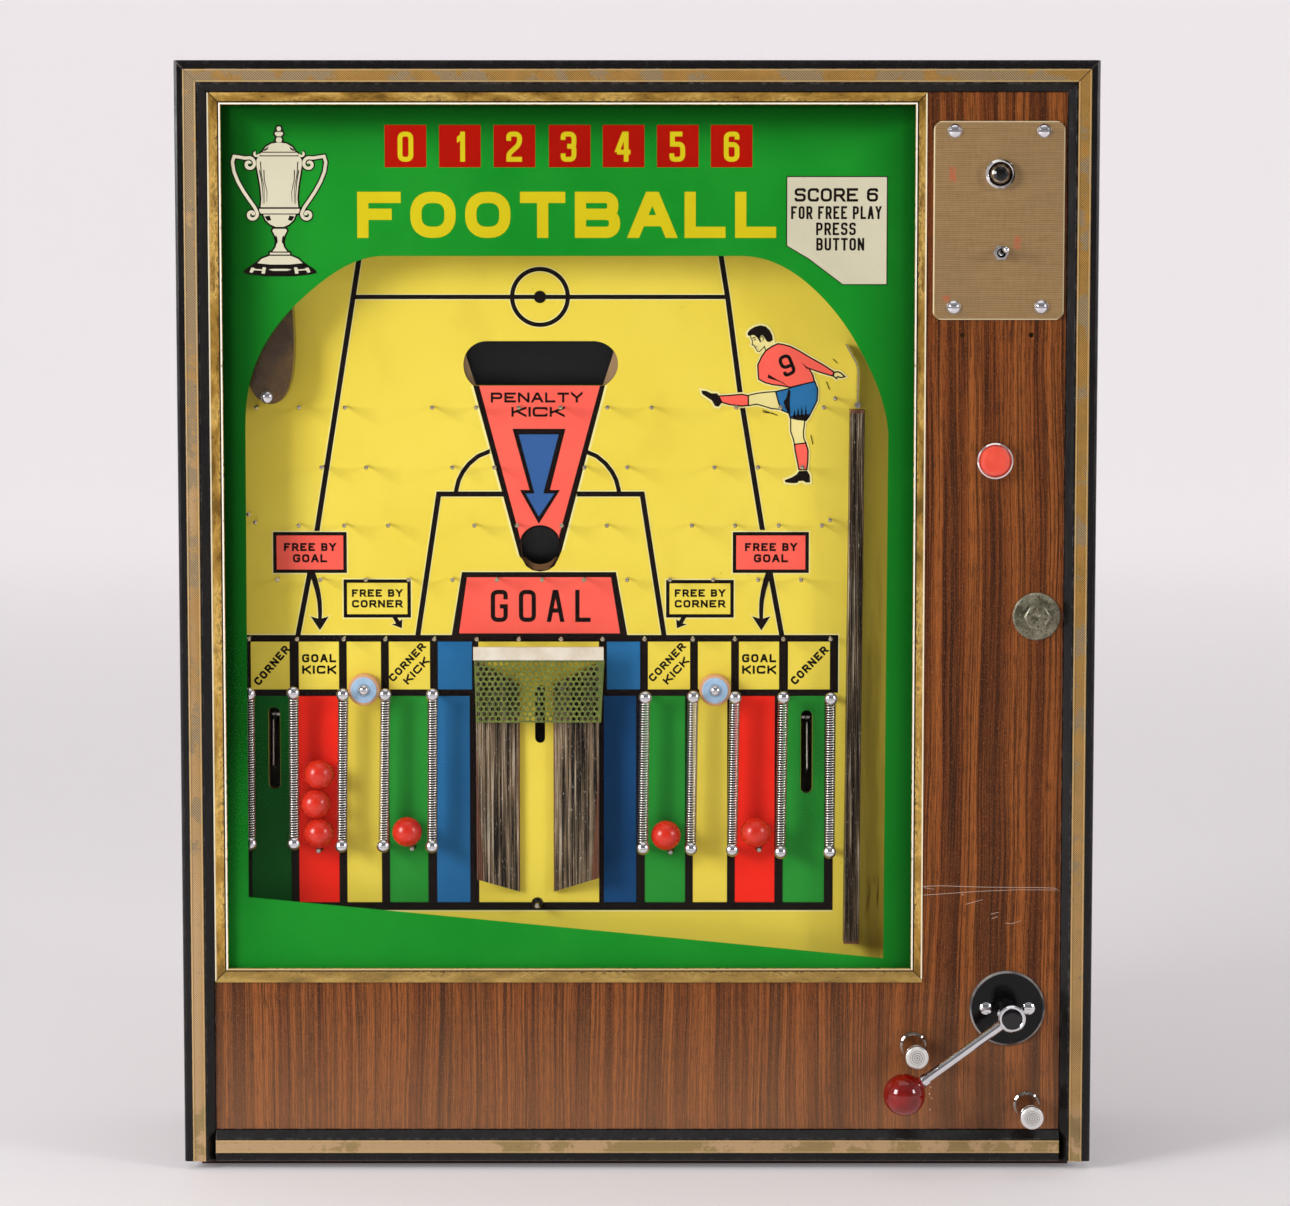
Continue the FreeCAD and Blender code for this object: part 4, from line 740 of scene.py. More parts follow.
def ribbed_block(bm, block, d_back, pitch, depth, wobble, rows=26):
    """A bar standing on the playfield with reeds up its face: corners from top left, then the face's two depths."""
    ((xa, za), (xb, zb), (xc, zc), (xd, zd)), d_left, d_right = block
    columns = max(8, round((xb - xa) / pitch)) * 6
    front, back = [], []
    for i in range(columns + 1):
        t = i / columns
        top = Vector((xa + (xb - xa) * t, za + (zb - za) * t))
        low = Vector((xd + (xc - xd) * t, zd + (zc - zd) * t))
        line, rear = [], []
        for j in range(rows + 1):
            p = top.lerp(low, j / rows)
            drift = noise.noise(Vector((p.x * 0.09, p.y * 0.012, 3.1))) * wobble
            phase = (t * (columns / 6) + drift) * 2 * math.pi
            crest = (1 - abs(math.cos(phase / 2)) ** 1.5) * (0 if i in (0, columns) else 1)
            wear_and_glint = 0.75 + 0.5 * noise.noise(Vector((p.x * 0.8, p.y * 0.05, 9.0)))
            d_front = d_left + (d_right - d_left) * t + depth * (1 - crest * min(1.0, wear_and_glint))
            line.append(bm.verts.new(at(p.x, d_front, p.y)))
            rear.append(bm.verts.new(at(p.x, d_back, p.y)))
        front.append(line)
        back.append(rear)
    for i in range(columns):
        for j in range(rows):
            bm.faces.new((front[i][j], front[i][j + 1], front[i + 1][j + 1], front[i + 1][j]))
            bm.faces.new((back[i][j], back[i + 1][j], back[i + 1][j + 1], back[i][j + 1]))
        bm.faces.new((front[i][0], front[i + 1][0], back[i + 1][0], back[i][0]))
        bm.faces.new((front[i][rows], back[i][rows], back[i + 1][rows], front[i + 1][rows]))
    for i, flip in ((0, False), (columns, True)):
        for j in range(rows):
            quad = (front[i][j], back[i][j], back[i][j + 1], front[i][j + 1])
            bm.faces.new(quad[::-1] if flip else quad)


def block_mesh(name, blocks, *sizes):
    bm = bmesh.new()
    for block in blocks:
        ribbed_block(bm, block, *sizes)
    return finished(bm, name)


PLAY_D = (PLAY_Y - FRONT_Y) / MM
GOAL_BLOCKS = [([(-120.0, 378.0), (-87.9, 358.6), (-87.9, 202.6), (-119.6, 213.8)], 28.8, 41.0),
               ([(-62.6, 358.6), (-28.7, 375.8), (-28.7, 214.8), (-62.6, 202.6)], 41.0, 28.8)]
DIVIDER = [([(157.2, 564.0), (167.8, 564.0), (165.3, 165.6), (153.9, 165.6)], 26.0, 26.0)]


def bare_wood(m):
    """The timber that shows beside the goal blocks' metal, in two narrow wedges and along the inner edges."""
    shade = None
    for sign, x_low, x_high, z_high in ((1, -114.6, -120.4, 326.0), (-1, -34.2, -28.6, 300.0)):
        slope = (x_high - x_low) / (z_high - 213.0)
        line = m.plus(m.times(m.mm("Z", 213.0), slope), x_low)
        gap = m.times(m.minus(line, m.mm("X")), float(sign))
        wedge = m.steps(gap, (-0.3, 0.0), (0.3, 1.0))
        shade = wedge if shade is None else m.smaller(m.larger(shade, wedge), 1.0)
    inner = m.smaller(m.absolute(m.mm("X", -87.9)), m.absolute(m.mm("X", -62.6)))
    return m.larger(shade, m.steps(inner, (0.7, 1.0), (1.0, 0.0)))


def rusty_ends(m):
    return m.larger(m.steps(m.mm("Z"), (561.2, 0.0), (562.2, 1.0)), m.steps(m.mm("Z"), (167.2, 1.0), (168.0, 0.0)))


piece("goal_block_reeds", block_mesh("goal_block_reeds", GOAL_BLOCKS, PLAY_D, 1.45, 0.8, 0.2),
      worn_alloy("block_alloy", (156, 134, 106), (26, 18, 12), (118, 68, 38), bare_wood), "door", "goal_blocks")
piece("divider_reeds", block_mesh("divider_reeds", DIVIDER, PLAY_D, 3.5, 1.2, 0.05, 60),
      worn_alloy("divider_alloy", (132, 112, 88), (50, 40, 30), (150, 92, 62), rusty_ends), "door", "lane_divider")
piece("gate_pin", tube_mesh("gate_pin", [[at(162.4, 22.8, 567.6), at(162.4, 23.3, 567.6), at(162.4, PLAY_D, 567.6)]],
                            1.0 * MM, 16), STEEL, "door")


# ================================================================ flat artwork
class Sheet:
    """Printed shapes of one colour at one depth, gathered into one mesh that rides on the door."""

    def __init__(self, name, material, y):
        self.name, self.material, self.y = name, material, y
        self.verts, self.faces = [], []
        self.place = (0.0, 0.0, 0.0)

    def fill(self, outer, holes=()):
        loops = [[Vector((x, z, 0)) for x, z in loop] for loop in (outer, *holes)]
        flat = [p for loop in loops for p in loop]
        start = len(self.verts)
        x0, z0, turn = self.place
        c, s = math.cos(math.radians(turn)), math.sin(math.radians(turn))
        self.verts += [((x0 + p.x * c - p.y * s) * MM, self.y, (z0 + p.x * s + p.y * c) * MM) for p in flat]
        for a, b, c in tessellate_polygon(loops):
            p, q, r = flat[a], flat[b], flat[c]
            size = (q.x - p.x) * (r.y - p.y) - (q.y - p.y) * (r.x - p.x)
            if abs(size) > 1e-6:
                b, c = (b, c) if size > 0 else (c, b)
                self.faces.append((start + a, start + b, start + c))

    def box(self, x0, x1, z0, z1, holes=()):
        self.fill([(x0, z0), (x1, z0), (x1, z1), (x0, z1)], holes)

    def stroke(self, points, width, closed=False, taper=None):
        """A mitred band along the points, with ends cut level or upright; taper is the width at the last point."""
        n = len(points)
        left, right = [], []
        for i, (x, z) in enumerate(points):
            half = (width + ((taper - width) * i / (n - 1) if taper is not None else 0)) / 2
            before = points[i - 1] if closed or i else None
            after = points[(i + 1) % n] if closed or i < n - 1 else None
            da = unit(x - before[0], z - before[1]) if before else None
            db = unit(after[0] - x, after[1] - z) if after else None
            if da and db:
                nx, nz = unit(-(da[1] + db[1]), da[0] + db[0])
                spread = half / max(0.4, -da[1] * nx + da[0] * nz)
                ox, oz = nx * spread, nz * spread
            else:
                dx, dz = da or db
                if abs(dz) >= abs(dx):
                    ox, oz = -math.copysign(half / abs(dz), dz), 0.0
                else:
                    ox, oz = 0.0, math.copysign(half / abs(dx), dx)
            left.append((x + ox, z + oz))
            right.append((x - ox, z - oz))
        if closed:
            left.append(left[0])
            right.append(right[0])
        for i in range(len(left) - 1):
            self.fill([left[i], left[i + 1], right[i + 1], right[i]])

    def disc(self, x, z, r):
        self.fill(circle(x, z, r))

    def done(self):
        """Joins every overlapping shape into one flat mesh, so no two faces lie on each other."""
        cover = BVHTree.FromPolygons([(x, 0.0, z) for x, _, z in self.verts], self.faces)
        flat = [Vector((x / MM, z / MM)) for x, _, z in self.verts]
        edges = [(a, b) for face in self.faces for a, b in zip(face, face[1:] + face[:1])]
        verts, _, faces = delaunay_2d_cdt(flat, edges, [], 0, 1e-4, False)[:3]
        kept = []
        for face in faces:
            mid = sum((verts[k] for k in face), Vector((0.0, 0.0))) * (MM / len(face))
            if cover.ray_cast(Vector((mid.x, -1.0, mid.y)), Vector((0.0, 1.0, 0.0)))[0] is not None:
                kept.append(face)
        mesh = bpy.data.meshes.new(self.name)
        mesh.from_pydata([(v.x * MM, self.y, v.y * MM) for v in verts], [], kept)
        piece(self.name, mesh, self.material, "door")


def unit(a, b):
    length = math.hypot(a, b) or 1.0
    return a / length, b / length


def circle(x, z, r, n=40):
    return [(x + r * math.cos(t), z + r * math.sin(t)) for t in turns(n)]


def arc(x, z, r, a0, a1, n=24):
    """Points on a circle from angle a0 to a1, in degrees anticlockwise from +X."""
    return [(x + r * math.cos(math.radians(a0 + (a1 - a0) * k / n)),
             z + r * math.sin(math.radians(a0 + (a1 - a0) * k / n))) for k in range(n + 1)]


def slot_outline(x, z0, z1, half):
    return arc(x, z1 - half, half, 0, 180, 12) + arc(x, z0 + half, half, 180, 360, 12)


# Block capitals and numerals as strokes on a 4 x 6 grid: "r" rounds a corner and "*" closes a loop.
GLYPHS = {
    " ": (2.4, ()), "-": (2.6, ("0,3 2.6,3",)),
    "A": (4, ("0,0 1.7,6", "4,0 2.3,6", "0.8,2 3.2,2")),
    "B": (4, ("0,0 0,6", "0,6 3.8,6r 3.8,3.1r 0,3.1", "0,3.1 4,3.1r 4,0r 0,0")),
    "C": (4, ("4,4.3 4,6r 0,6r 0,0r 4,0r 4,1.7",)),
    "E": (4, ("4,6 0,6 0,0 4,0", "0,3.1 3.5,3.1")),
    "F": (3.8, ("3.8,6 0,6 0,0", "0,3.1 3.4,3.1")),
    "G": (4, ("4,4.4 4,6r 0,6r 0,0r 4,0r 4,2.9 2.2,2.9",)),
    "I": (0, ("0,0 0,6",)),
    "K": (4, ("0,0 0,6", "0,2.3 4,6", "1.3,3.5 4,0")),
    "L": (3.5, ("0,6 0,0 3.5,0",)),
    "N": (4, ("0,0 0,6", "4,0 4,6", "0.2,6 3.8,0")),
    "O": (4, ("*0,0r 4,0r 4,6r 0,6r",)),
    "P": (4, ("0,0 0,6 4,6r 4,2.6r 0,2.6",)),
    "R": (4, ("0,0 0,6 4,6r 4,2.7r 0,2.7", "2.3,2.7 4,0")),
    "S": (4, ("4,4.6 4,6r 0,6r 0,3.1r 4,3.1r 4,0r 0,0r 0,1.4",)),
    "T": (4, ("0,6 4,6", "2,6 2,0")),
    "U": (4, ("0,6 0,0r 4,0r 4,6",)),
    "Y": (4, ("0,6 2,2.9 4,6", "2,3.2 2,0")),
    "0": (4, ("*0,0r 4,0r 4,6r 0,6r",)),
    "1": (1.8, ("1.8,0 1.8,6", "0,4.6 1.8,5.6")),
    "2": (4, ("0,4.4 0,6r 4,6r 4,3.6r 0,1.3r 0,0 4,0",)),
    "3": (4, ("0,4.6 0,6r 4,6r 4,3.1r 1.5,3.1", "1.5,3.1 4,3.1r 4,0r 0,0r 0,1.4")),
    "4": (4.4, ("3.4,0 3.4,6", "0,1.7 5.0,1.7", "0,1.7 2.6,6")),
    "5": (4, ("3.9,6 0.2,6 0.2,3.6 4,3.6r 4,0r 0,0r 0,1.4",)),
    "6": (4, ("4,4.7 4,6r 0,6r 0,0r 4,0r 4,3.5r 0,3.5",)),
    "9": (4, ("0,1.3 0,0r 4,0r 4,6r 0,6r 0,2.5r 4,2.5",)),
}


def rounded(points, closed, radius):
    """Points (x, z, round) with each marked corner replaced by a short curve."""
    out = []
    n = len(points)
    for i, (x, z, soft) in enumerate(points):
        if not soft or (not closed and i in (0, n - 1)):
            out.append((x, z))
            continue
        a, b = points[i - 1], points[(i + 1) % n]
        da, db = math.hypot(a[0] - x, a[1] - z), math.hypot(b[0] - x, b[1] - z)
        t = min(radius, da * 0.46, db * 0.46)
        p = (x + (a[0] - x) * t / da, z + (a[1] - z) * t / da)
        q = (x + (b[0] - x) * t / db, z + (b[1] - z) * t / db)
        for k in range(7):
            u = k / 6
            f, g, h = (1 - u) ** 2, 2 * u * (1 - u) * 0.82, u * u
            w = f + g + h
            out.append(((p[0] * f + x * g + q[0] * h) / w, (p[1] * f + z * g + q[1] * h) / w))
    return out


def letters(sheet, words, x, z, height, width, weight, turn=0.0, gap=0.9, radius=None):
    """One line of block lettering centred on (x, z), in mm; gap is a multiple of the stroke weight."""
    stems = sum(weight for c in words if c != " ")
    unit_x = (width - stems - gap * weight * (len(words) - 1)) / sum(GLYPHS[c][0] for c in words)
    unit_z = (height - weight) / 6
    radius = radius or 1.5 * min(unit_x, unit_z) + weight * 0.2
    sheet.place = (x, z, turn)
    cursor = -width / 2
    for c in words:
        wide, paths = GLYPHS[c]
        for path in paths:
            closed = path.startswith("*")
            raw = [(float(a), float(b.rstrip("r")), b.endswith("r"))
                   for a, b in (pair.split(",") for pair in path.lstrip("*").split())]
            pts = [(cursor + weight / 2 + a * unit_x, -height / 2 + weight / 2 + b * unit_z, soft)
                   for a, b, soft in raw]
            pts = rounded(pts, closed, radius)
            if not closed:
                for end, near, grid in ((0, 1, raw[0]), (-1, -2, raw[-1])):
                    dx, dz = unit(pts[end][0] - pts[near][0], pts[end][1] - pts[near][1])
                    if abs(dz) >= abs(dx) and grid[1] in (0, 6):
                        k = weight / 2 / abs(dz)
                    elif abs(dx) > abs(dz) and grid[0] in (0, wide) and (grid[1] in (0, 6) or c in "T-"):
                        k = weight / 2 / abs(dx)
                    else:
                        k = 0.0
                    pts[end] = (pts[end][0] + dx * k, pts[end][1] + dz * k)
            sheet.stroke(pts, weight, closed)
        cursor += wide * unit_x + (weight if c != " " else 0.0) + gap * weight
    sheet.place = (0.0, 0.0, 0.0)


# ---------------------------------------------------------------- pitch artwork on the playfield
Y_HALO = PLAY_Y - LAYER
Y_FILL = PLAY_Y - 2 * LAYER
Y_BLACK = PLAY_Y - 3 * LAYER
Y_TOP = PLAY_Y - 4 * LAYER
Y_TEXT = PLAY_Y - 5 * LAYER
halo = Sheet("art_halo", HALO, Y_HALO)
black = Sheet("art_lines", INK, Y_BLACK)
under = Sheet("art_black_ground", INK, Y_FILL)
coral = Sheet("art_coral", CORAL, Y_TOP)
red = Sheet("art_red", LANE_RED, Y_TOP)
green = Sheet("art_green", LANE_GREEN, Y_TOP)
outer_green = Sheet("art_outer_green", OUTER_GREEN, Y_TOP)
blue = Sheet("art_blue", LANE_BLUE, Y_TOP)
right_blue = Sheet("art_right_blue", RIGHT_BLUE, Y_TOP)
arrow_blue = Sheet("art_arrow", ARROW_BLUE, PLAY_Y - 6 * LAYER)
yellow = Sheet("art_yellow", YELLOW, Y_TOP)
top_black = Sheet("art_top_lines", INK, Y_TEXT)

LINE = 3.8
HALO_W = 5.3
PITCH_MID = -72.0


def pitch_line(points, width=LINE, closed=False):
    halo.stroke(points, width + HALO_W - LINE, closed)
    black.stroke(points, width, closed)


pitch_line(arc(PITCH_MID, 646.8, 20.6, 0, 360, 64), 3.2)
black.disc(PITCH_MID, 646.8, 4.6)
pitch_line([(-210.4, 646.8), (68.0, 646.8)], 3.2)
pitch_line([(-204.6, 680.0), (-206.5, 669.7), (-238.3, 473.1)])
pitch_line([(-243.7, 442.5), (-253.0, 395.4)])
pitch_line([(61.4, 680.0), (67.1, 644.6), (76.1, 576.5), (93.0, 473.9)])
pitch_line([(98.8, 442.5), (107.6, 395.4)])
for side, foot in ((-1, -134.6), (1, -13.8)):
    pitch_line([(foot, 500.7), (foot, 503.5), (foot - 1.9 * side, 511.1), (foot - 5.0 * side, 517.2),
                (foot - 9.6 * side, 523.2), (foot - 16.4 * side, 528.9), (foot - 25.2 * side, 532.6)], 3.2)
pitch_line([(-99.0, 500.7), (-147.6, 500.7), (-163.6, 395.4)])
pitch_line([(-45.0, 500.7), (3.6, 500.7), (19.8, 395.4)])

# Penalty panel: a coral wedge that runs from the window down to the round hole.
HOLE = (-72.3, 461.9)
HOLE_R = 14.2
BORE = [(-86.5, 461.9), (-85.8, 452.5), (-82.8, 447.0), (-78.2, 443.9), (-72.3, 442.8), (-66.4, 443.9),
        (-61.8, 447.0), (-58.8, 452.5), (-58.1, 461.9)] + arc(*HOLE, HOLE_R, 0, 180)[1:-1]
WEDGE = [(-121.6, 581.3), (-24.0, 581.3), (-56.1, 459.0), (-66.4, 443.9), (-78.2, 443.9), (-87.7, 454.3)]
under.fill(WEDGE, [BORE])
halo.stroke([(-122.6, 581.3), (-88.4, 453.8)], 1.6)
halo.stroke([(-23.0, 581.3), (-55.4, 458.6)], 1.6)
coral.fill([(-117.2, 581.1), (-27.7, 581.1), (-57.5, 472.0), (-58.6, 468.4)] + arc(*HOLE, HOLE_R + 1.5, 22, 158, 16)
           + [(-86.9, 466.4), (-88.2, 472.0)])
ARROW = [(-92.6, 549.2), (-53.3, 549.2), (-64.9, 503.7), (-57.5, 503.7), (-73.3, 478.5), (-87.2, 503.7),
         (-80.1, 503.7)]
top_black.fill(ARROW)
arrow_blue.fill([(-88.0, 545.0), (-58.3, 545.0), (-69.9, 501.1), (-61.7, 501.1), (-73.3, 483.9), (-82.9, 501.1),
                 (-76.4, 501.1)])

# Goal sign.
GOAL_OUT = [(-130.6, 442.5), (-15.9, 442.5), (-7.4, 395.0), (-138.4, 395.0)]
GOAL_IN = [(-126.8, 438.6), (-19.7, 438.6), (-12.9, 396.6), (-132.9, 396.6)]
halo.stroke(GOAL_OUT, 1.8, closed=True)
under.fill(GOAL_OUT)
coral.fill(GOAL_IN)


def framed_box(x0, x1, z0, z1, sheet, line=2.6):
    halo.stroke([(x0, z0), (x1, z0), (x1, z1), (x0, z1)], 1.8, closed=True)
    under.box(x0, x1, z0, z1)
    sheet.box(x0 + line, x1 - line, z0 + line, z1 - line)


BOXES = [(-271.0, -216.2, 441.8, 472.4, coral), (71.0, 127.6, 441.8, 472.4, coral),
         (-218.8, -168.7, 408.4, 437.0, yellow), (21.4, 71.8, 408.4, 436.6, yellow)]
for x0, x1, z0, z1, sheet in BOXES:
    framed_box(x0, x1, z0, z1, sheet)


def curved_arrow(tail, side):
    """A tapering tail that bows outward as it falls to its head."""
    bow = ((0.0, 0.0), (2.4, 6.5), (4.4, 14.0), (5.8, 22.0), (6.2, 30.0), (6.1, 36.6))
    path = [(tail[0] + side * a, tail[1] - b) for a, b in bow]
    halo.stroke(path, 4.6)
    black.stroke(path, 4.6, taper=2.6)
    tip = (tail[0] + side * 6.0, tail[1] - 44.2)
    shape = [tip, (tip[0] - 6.9, tip[1] + 10.6), (tip[0] - 1.3, tip[1] + 8.9), (tip[0] + 1.3, tip[1] + 8.9),
             (tip[0] + 6.7, tip[1] + 10.6)]
    halo.stroke(shape, 1.3, closed=True)
    black.fill(shape)


def short_arrow(tip, side):
    """The small arrow that hangs from a corner box and leans inward."""
    def lean(points):
        return [(tip[0] + side * a, tip[1] + b) for a, b in points]
    shape = lean([(0.0, 0.0), (0.5, 6.9), (-1.6, 5.4), (-4.6, 10.0), (-8.0, 10.0), (-4.3, 3.6), (-7.5, 3.0)])
    halo.stroke(shape, 1.3, closed=True)
    black.fill(shape)


curved_arrow((-242.6, 443.0), 1)
curved_arrow((98.4, 443.0), -1)
short_arrow((-175.6, 400.4), 1)
short_arrow((29.4, 400.4), -1)

# Lane names and lane columns on a black ground.
SLOTS = [(-271.2, 279.5, 341.3, 4.4), (126.4, 276.5, 339.0, 4.4)]
CENTRE_SLOT = (-72.5, 314.4, 358.0, 3.9)
PIN_HOLES = [(-237.9, 234.7), (-168.2, 236.2), (24.7, 233.5), (90.8, 235.4)]
CENTRE_HOLE = (-75.0, 193.1)
CELL_Z = (354.6, 390.4)
LANE_Z = (194.0, 349.6)
GROUND = [(-291.6, 187.9), (146.4, 187.9), (146.4, 352.0), (149.8, 352.0), (149.8, 395.4), (-291.6, 395.4)]
bores = [slot_outline(*s) for s in (*SLOTS, CENTRE_SLOT)] + [circle(x, z, 2.7, 14) for x, z in PIN_HOLES]
halo.fill([(-291.6, 395.0), (149.8, 395.0), (150.6, 396.3), (-291.6, 396.3)])
halo.box(149.4, 150.6, 352.0, 396.0)
halo.box(-291.6, 146.4, 186.9, 188.4)
under.fill(GROUND, bores + [circle(*CENTRE_HOLE, 3.9, 16)])
CELLS = [(-288.3, -259.4, yellow), (-252.5, -222.6, yellow), (-216.7, -191.3, yellow), (-185.3, -154.7, yellow),
         (-148.8, -123.4, blue), (-22.7, 2.0, blue), (7.9, 39.3, yellow), (45.2, 69.9, yellow),
         (75.8, 105.7, yellow), (112.4, 143.6, yellow)]
for x0, x1, sheet in CELLS:
    sheet.box(x0, x1, *CELL_Z)
LANES = [(-288.5, -259.3, outer_green), (-253.3, -223.3, red), (-217.3, -191.5, yellow), (-185.2, -156.7, green),
         (-150.0, -125.3, blue), (-25.0, -1.0, right_blue), (5.7, 35.6, green), (41.6, 67.1, yellow),
         (73.1, 102.6, red), (109.0, 139.7, green)]
for x0, x1, sheet in LANES:
    holes = [slot_outline(*s) for s in SLOTS if x0 < s[0] < x1]
    holes += [circle(x, z, 2.7, 14) for x, z in PIN_HOLES if x0 < x < x1]
    sheet.box(x0, x1, *LANE_Z, holes=holes)
yellow.fill([(-118.5, 194.0), (-78.9, 194.0)] + arc(*CENTRE_HOLE, 4.6, 180, 0, 12)[1:-1]
            + [(-71.1, 194.0), (-28.7, 194.0), (-28.7, 390.4), (-118.5, 390.4)], [slot_outline(*CENTRE_SLOT)])

words = Sheet("art_words", INK, Y_TEXT)
letters(words, "PENALTY", -74.6, 572.4, 7.4, 68.0, 1.65)
letters(words, "KICK", -73.6, 561.8, 7.2, 39.5, 1.65)
letters(words, "GOAL", -72.0, 417.2, 24.0, 74.4, 3.2, gap=2.6, radius=3.4)
for x in (-243.6, 99.4):
    letters(words, "FREE BY", x, 461.2, 6.0, 38.6, 1.5)
    letters(words, "GOAL", x, 452.8, 6.0, 25.4, 1.5)
for x in (-193.8, 46.6):
    letters(words, "FREE BY", x, 426.8, 5.6, 37.5, 1.4)
    letters(words, "CORNER", x, 418.8, 5.6, 37.5, 1.4)
for x in (-237.4, 90.8):
    letters(words, "GOAL", x, 378.0, 6.2, 25.4, 1.55)
    letters(words, "KICK", x, 369.4, 6.2, 25.4, 1.55)
for x, turn in ((-272.8, 49), (128.2, 46)):
    letters(words, "CORNER", x, 372.6, 6.0, 36.0, 1.5, turn=turn)
for x in (-171.8, 22.0):
    letters(words, "CORNER", x, 375.0, 5.6, 36.0, 1.4, turn=47)
    letters(words, "KICK", x + 6.8, 368.6, 5.6, 24.0, 1.4, turn=47)

# ---------------------------------------------------------------- the footballer printed beside the pitch
fig_halo = Sheet("figure_halo", HALO, PLAY_Y - 6 * LAYER)
fig_skin = Sheet("figure_skin", SKIN, PLAY_Y - 7 * LAYER)
fig_red = Sheet("figure_red", CORAL, PLAY_Y - 8 * LAYER)
fig_blue = Sheet("figure_blue", LANE_BLUE, PLAY_Y - 8 * LAYER)
fig_ink = Sheet("figure_ink", INK, PLAY_Y - 9 * LAYER)
FIG_LINE = 1.0
SHIRT = [(104.1, 612.3), (108.4, 611.6), (113.6, 610.1), (119.5, 607.1), (128.2, 601.9), (137.9, 596.5),
         (145.8, 591.3), (144.6, 588.4), (135.4, 591.1), (127.2, 594.0), (130.0, 589.1), (131.2, 584.2),
         (123.3, 582.4), (113.5, 580.0), (106.8, 581.2), (100.6, 581.9), (94.9, 583.4), (90.0, 585.9),
         (89.5, 591.0), (89.3, 596.5), (91.9, 602.4), (95.1, 607.1), (99.5, 610.1)]
SHORTS = [(102.6, 576.8), (112.0, 579.0), (113.7, 579.7), (123.3, 582.4), (131.5, 584.2), (133.7, 578.5),
          (133.3, 570.3), (130.3, 564.2), (127.6, 558.7), (125.2, 555.5), (118.5, 556.2), (113.3, 557.5),
          (112.3, 560.9), (106.6, 563.2), (104.6, 569.3)]
HAND = [(145.8, 590.9), (148.3, 591.6), (150.5, 590.8), (153.7, 587.9), (151.0, 587.1), (148.5, 587.9),
        (147.5, 586.4), (145.2, 588.4)]
KICKING_LEG = [(82.3, 574.0), (88.5, 575.5), (95.9, 576.4), (102.6, 576.8), (104.6, 569.3), (106.6, 563.6),
               (99.7, 564.2), (93.5, 566.1), (88.5, 567.5), (82.3, 566.4)]
STANDING_LEG = [(113.7, 557.6), (113.8, 547.1), (115.8, 541.6), (116.6, 537.7), (125.0, 538.7), (123.5, 542.1),
                (123.2, 547.1), (124.4, 556.0)]
KICKING_SOCK = [(60.3, 573.5), (68.7, 574.0), (77.4, 574.8), (82.3, 573.8), (82.3, 566.6), (77.4, 566.1),
                (68.7, 567.1), (62.8, 568.8)]
STANDING_SOCK = [(116.6, 537.7), (125.0, 538.7), (126.7, 533.2), (126.5, 524.8), (125.8, 518.9), (120.0, 518.9),
                 (118.6, 526.0), (117.3, 532.2)]
KICKING_BOOT = [(47.5, 577.7), (51.2, 577.3), (54.9, 575.5), (59.3, 575.5), (61.3, 571.8), (62.8, 568.8),
                (60.3, 565.6), (57.6, 566.1), (55.4, 570.1), (51.4, 572.8), (48.2, 575.0)]
STANDING_BOOT = [(119.9, 517.8), (126.0, 518.1), (128.0, 514.9), (128.3, 509.4), (124.8, 509.2), (123.6, 510.6),
                 (119.9, 510.4), (118.8, 509.0), (114.9, 508.8), (110.0, 509.4), (109.5, 511.1), (114.7, 513.1),
                 (118.4, 515.4)]

# A plain profile head, on its own grid one head high, looking left and down.
HEAD_AT, HEAD_SIZE, HEAD_TURN = (91.9, 616.2), 18.6, 24.0


def head(points):
    c, s = math.cos(math.radians(HEAD_TURN)), math.sin(math.radians(HEAD_TURN))
    return [(HEAD_AT[0] + (a * c - b * s) * HEAD_SIZE, HEAD_AT[1] + (a * s + b * c) * HEAD_SIZE) for a, b in points]


FACE = head([(-0.20, 0.40), (-0.35, 0.30), (-0.38, 0.16), (-0.36, 0.07), (-0.41, -0.04), (-0.45, -0.09),
             (-0.37, -0.13), (-0.39, -0.19), (-0.365, -0.215), (-0.38, -0.26), (-0.35, -0.31), (-0.36, -0.39),
             (-0.29, -0.45), (-0.14, -0.40), (-0.02, -0.34), (-0.04, -0.52), (0.30, -0.50), (0.40, -0.15),
             (0.20, 0.30)])
HAIR = head([(-0.37, 0.27), (-0.45, 0.33), (-0.42, 0.42), (-0.28, 0.50), (-0.06, 0.53), (0.18, 0.49), (0.35, 0.36),
             (0.43, 0.16), (0.44, -0.06), (0.39, -0.24), (0.24, -0.27), (0.15, -0.20), (0.12, -0.02), (0.10, 0.08),
             (0.02, 0.11), (-0.05, 0.05), (-0.06, -0.12), (-0.11, -0.13), (-0.14, 0.10), (-0.22, 0.25),
             (-0.32, 0.28)])
for shape in (SHIRT, SHORTS, HAND, KICKING_LEG, STANDING_LEG, KICKING_SOCK, STANDING_SOCK, KICKING_BOOT,
              STANDING_BOOT, FACE, HAIR):
    fig_halo.stroke(shape, 3.0, closed=True)
for shape in (HAND, KICKING_LEG, STANDING_LEG, FACE):
    fig_skin.fill(shape)
for shape in (SHIRT, KICKING_SOCK, STANDING_SOCK):
    fig_red.fill(shape)
fig_blue.fill(SHORTS)
for shape in (SHIRT, SHORTS, HAND, KICKING_SOCK, STANDING_SOCK):
    fig_ink.stroke(shape, FIG_LINE, closed=True)
for shape in (KICKING_BOOT, STANDING_BOOT, HAIR):
    fig_ink.fill(shape)
for line in (KICKING_LEG[:4], KICKING_LEG[5:], STANDING_LEG[:4], STANDING_LEG[4:]):
    fig_ink.stroke(line, 0.85)
fig_ink.stroke(FACE[1:16], 0.6)
fig_ink.stroke(head([(-0.30, 0.05), (-0.26, 0.075), (-0.21, 0.055)]), 0.5)
fig_ink.stroke(head([(-0.33, 0.13), (-0.27, 0.155), (-0.20, 0.13)]), 0.7)
fig_ink.stroke(head([(-0.36, -0.215), (-0.30, -0.225), (-0.27, -0.21)]), 0.45)
